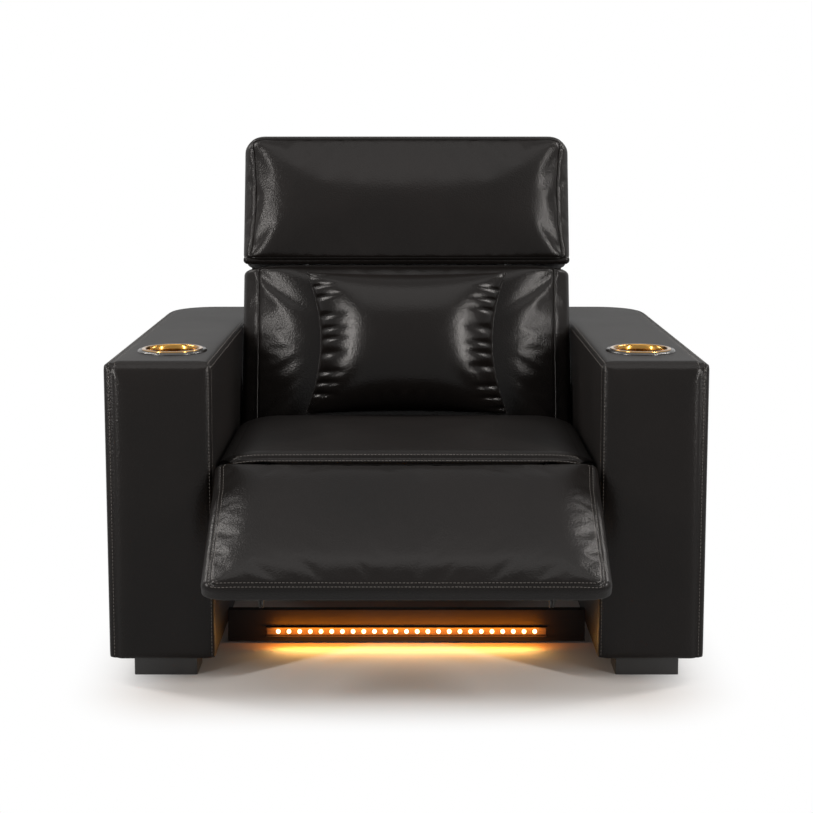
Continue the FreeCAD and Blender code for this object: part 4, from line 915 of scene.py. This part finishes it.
strip, tree, shader, place = start("led_flexible_board_painted_glow")
led_pitch = 0.02
parts = add(tree, "ShaderNodeSeparateXYZ", {"Vector": place})
pitch = add(tree, "ShaderNodeMath", {0: parts.outputs["X"], 1: led_pitch}, operation="PINGPONG")
# The board's emission strength is a painted glow of the LEDs' light, not a light of its own.
painted_glow_strength = add(tree, "ShaderNodeMapRange", {"Value": pitch.outputs[0], "From Min": 0.0, "From Max": led_pitch,
                                         "To Min": 0.16, "To Max": 0.04})
shader.inputs["Base Color"].default_value = linear("#3a2a14")
shader.inputs["Emission Color"].default_value = linear("#ff9a2e")
tree.links.new(painted_glow_strength.outputs["Result"], shader.inputs["Emission Strength"])
shader.inputs["Roughness"].default_value = 0.4
finish_nodes(["led_board"], strip)

anodised, tree, shader, place = start("dark_anodised_aluminium")
shader.inputs["Metallic"].default_value = 0.7
drawn = add(tree, "ShaderNodeMapping", {"Vector": place, "Scale": (12.0, 900.0, 900.0)})
die_lines = add(tree, "ShaderNodeTexNoise", {"Vector": drawn.outputs[0], "Scale": 1.0, "Detail": 3.0})
dark_bronze = blend_colours(tree, die_lines.outputs["Fac"], "#2a2520", "#3b332a")
tree.links.new(dark_bronze, shader.inputs["Base Color"])
tree.links.new(between(tree, die_lines.outputs["Fac"], 0.3, 0.45), shader.inputs["Roughness"])
finish_nodes(["led_channel"], anodised)


def area_light(name, place, target, size, watts, colour):
    """A rectangular light that the camera doesn't see, turned to a target."""
    light = bpy.data.lights.new(name, "AREA")
    light.shape = "RECTANGLE"
    light.size, light.size_y = size
    light.energy = watts
    light.color = linear(colour)[:3]
    lamp = bpy.data.objects.new(name, light)
    bpy.context.scene.collection.objects.link(lamp)
    lamp.location = place
    lamp.rotation_euler = (Vector(target) - Vector(place)).to_track_quat("-Z", "Y").to_euler()
    lamp.visible_camera = False


apron_face = 0.215 - 0.32185
area_light("strip_on_apron", (0, apron_face - 0.035, 0.030), (0, apron_face, 0.030),
           size=(0.50, 0.008), watts=1.0, colour="#ff8a10")
area_light("strip_on_floor", (0, apron_face - 0.020, 0.026), (0, apron_face - 0.060, 0.0),
           size=(0.48, 0.006), watts=0.5, colour="#ffbe62")

# Studio: tall soft boxes on both sides, smaller ones behind them and a broad one above. Under and around the
# seat the floor is coloured grey as painted shade, on top of the real shadows there, and beyond it turns white,
# into the white surround.


def seen_directly(tree):
    """1 for the rays that the camera, a reflection or a clear piece sends, 0 for the rest."""
    ray = add(tree, "ShaderNodeLightPath")
    seen = add(tree, "ShaderNodeMath", {0: ray.outputs["Is Camera Ray"], 1: ray.outputs["Is Glossy Ray"]},
               operation="MAXIMUM")
    seen = add(tree, "ShaderNodeMath", {0: seen.outputs[0], 1: ray.outputs["Is Transmission Ray"]},
               operation="MAXIMUM")
    return seen.outputs[0]


bpy.ops.mesh.primitive_plane_add(size=60.0, location=(0, 0, 0))
floor = bpy.context.object
floor.name = "studio_floor"
paper = bpy.data.materials.new("white_floor")
paper.use_nodes = True
tree = paper.node_tree
tree.nodes.clear()
seen = seen_directly(tree)
# The grey colour of the floor under and around the seat is painted shade; the lamps' real shadows fall on it
# too.
matte = add(tree, "ShaderNodeBsdfDiffuse", {"Color": linear("#b4b2b0")})
place = add(tree, "ShaderNodeTexCoord").outputs["Object"]
# Half size of the floor patch painted grey as shade round the seat; beyond it the floor fades to white.
painted_shade_half = (0.38, 0.34, 0.0)
mirror = add(tree, "ShaderNodeVectorMath", {0: place}, operation="ABSOLUTE")
outside = add(tree, "ShaderNodeVectorMath", {0: mirror.outputs[0], 1: painted_shade_half}, operation="SUBTRACT")
outside = add(tree, "ShaderNodeVectorMath", {0: outside.outputs[0], 1: (0.0, 0.0, 0.0)}, operation="MAXIMUM")
far = add(tree, "ShaderNodeVectorMath", {0: outside.outputs[0]}, operation="LENGTH")
far = add(tree, "ShaderNodeMapRange", {"Value": far.outputs["Value"], "From Max": 0.22},
          interpolation_type="SMOOTHSTEP")
far = add(tree, "ShaderNodeMath", {0: far.outputs["Result"], 1: seen}, operation="MULTIPLY")
own = add(tree, "ShaderNodeEmission", {"Color": linear("#ffffff"), "Strength": 1.0})
both = add(tree, "ShaderNodeMixShader", {0: far.outputs[0], 1: matte.outputs[0], 2: own.outputs[0]})
tree.links.new(both.outputs[0], add(tree, "ShaderNodeOutputMaterial").inputs["Surface"])
floor.data.materials.append(paper)

world = bpy.data.worlds.new("studio_surround")
bpy.context.scene.world = world
world.use_nodes = True
tree = world.node_tree
tree.nodes.clear()
seen = seen_directly(tree)
strength = add(tree, "ShaderNodeMapRange", {"Value": seen, "To Min": 0.15, "To Max": 1.0})
surround = add(tree, "ShaderNodeBackground", {"Color": linear("#ffffff"),
                                              "Strength": strength.outputs["Result"]})
tree.links.new(surround.outputs[0], add(tree, "ShaderNodeOutputWorld").inputs["Surface"])

for side, sign in (("left", -1), ("right", 1)):
    area_light(f"soft_box_{side}", (sign * 2.3, -1.9, 1.35), (0, 0.1, 0.5),
               size=(0.18, 2.2), watts=95.0, colour="#fffaf6")
for side, sign in (("left", -1), ("right", 1)):
    area_light(f"edge_box_{side}", (sign * 1.9, 0.4, 2.1), (0, -0.2, 0.4),
               size=(0.3, 1.2), watts=38.0, colour="#fffaf6")
area_light("soft_box_above", (0, -0.9, 2.9), (0, -0.1, 0.4),
           size=(3.0, 1.6), watts=34.0, colour="#fffcfa")

# Camera: it stands on the seat's middle plane, 3 m in front, and looks down a little. The small shift takes
# up part of the photograph's own.
tilt_down = 7.06
picture_width = 813
focal_pixels = 1631
camera_data = bpy.data.cameras.new("camera")
camera = bpy.data.objects.new("camera", camera_data)
bpy.context.scene.collection.objects.link(camera)
camera.location = (0.0, -3.070, 0.972)
camera.rotation_euler = (math.radians(90 - tilt_down), 0, 0)
camera_data.sensor_width = 36.0
camera_data.lens = focal_pixels / picture_width * 36.0
camera_data.shift_y = -0.10
bpy.context.scene.camera = camera
bpy.context.scene.view_settings.view_transform = "Standard"
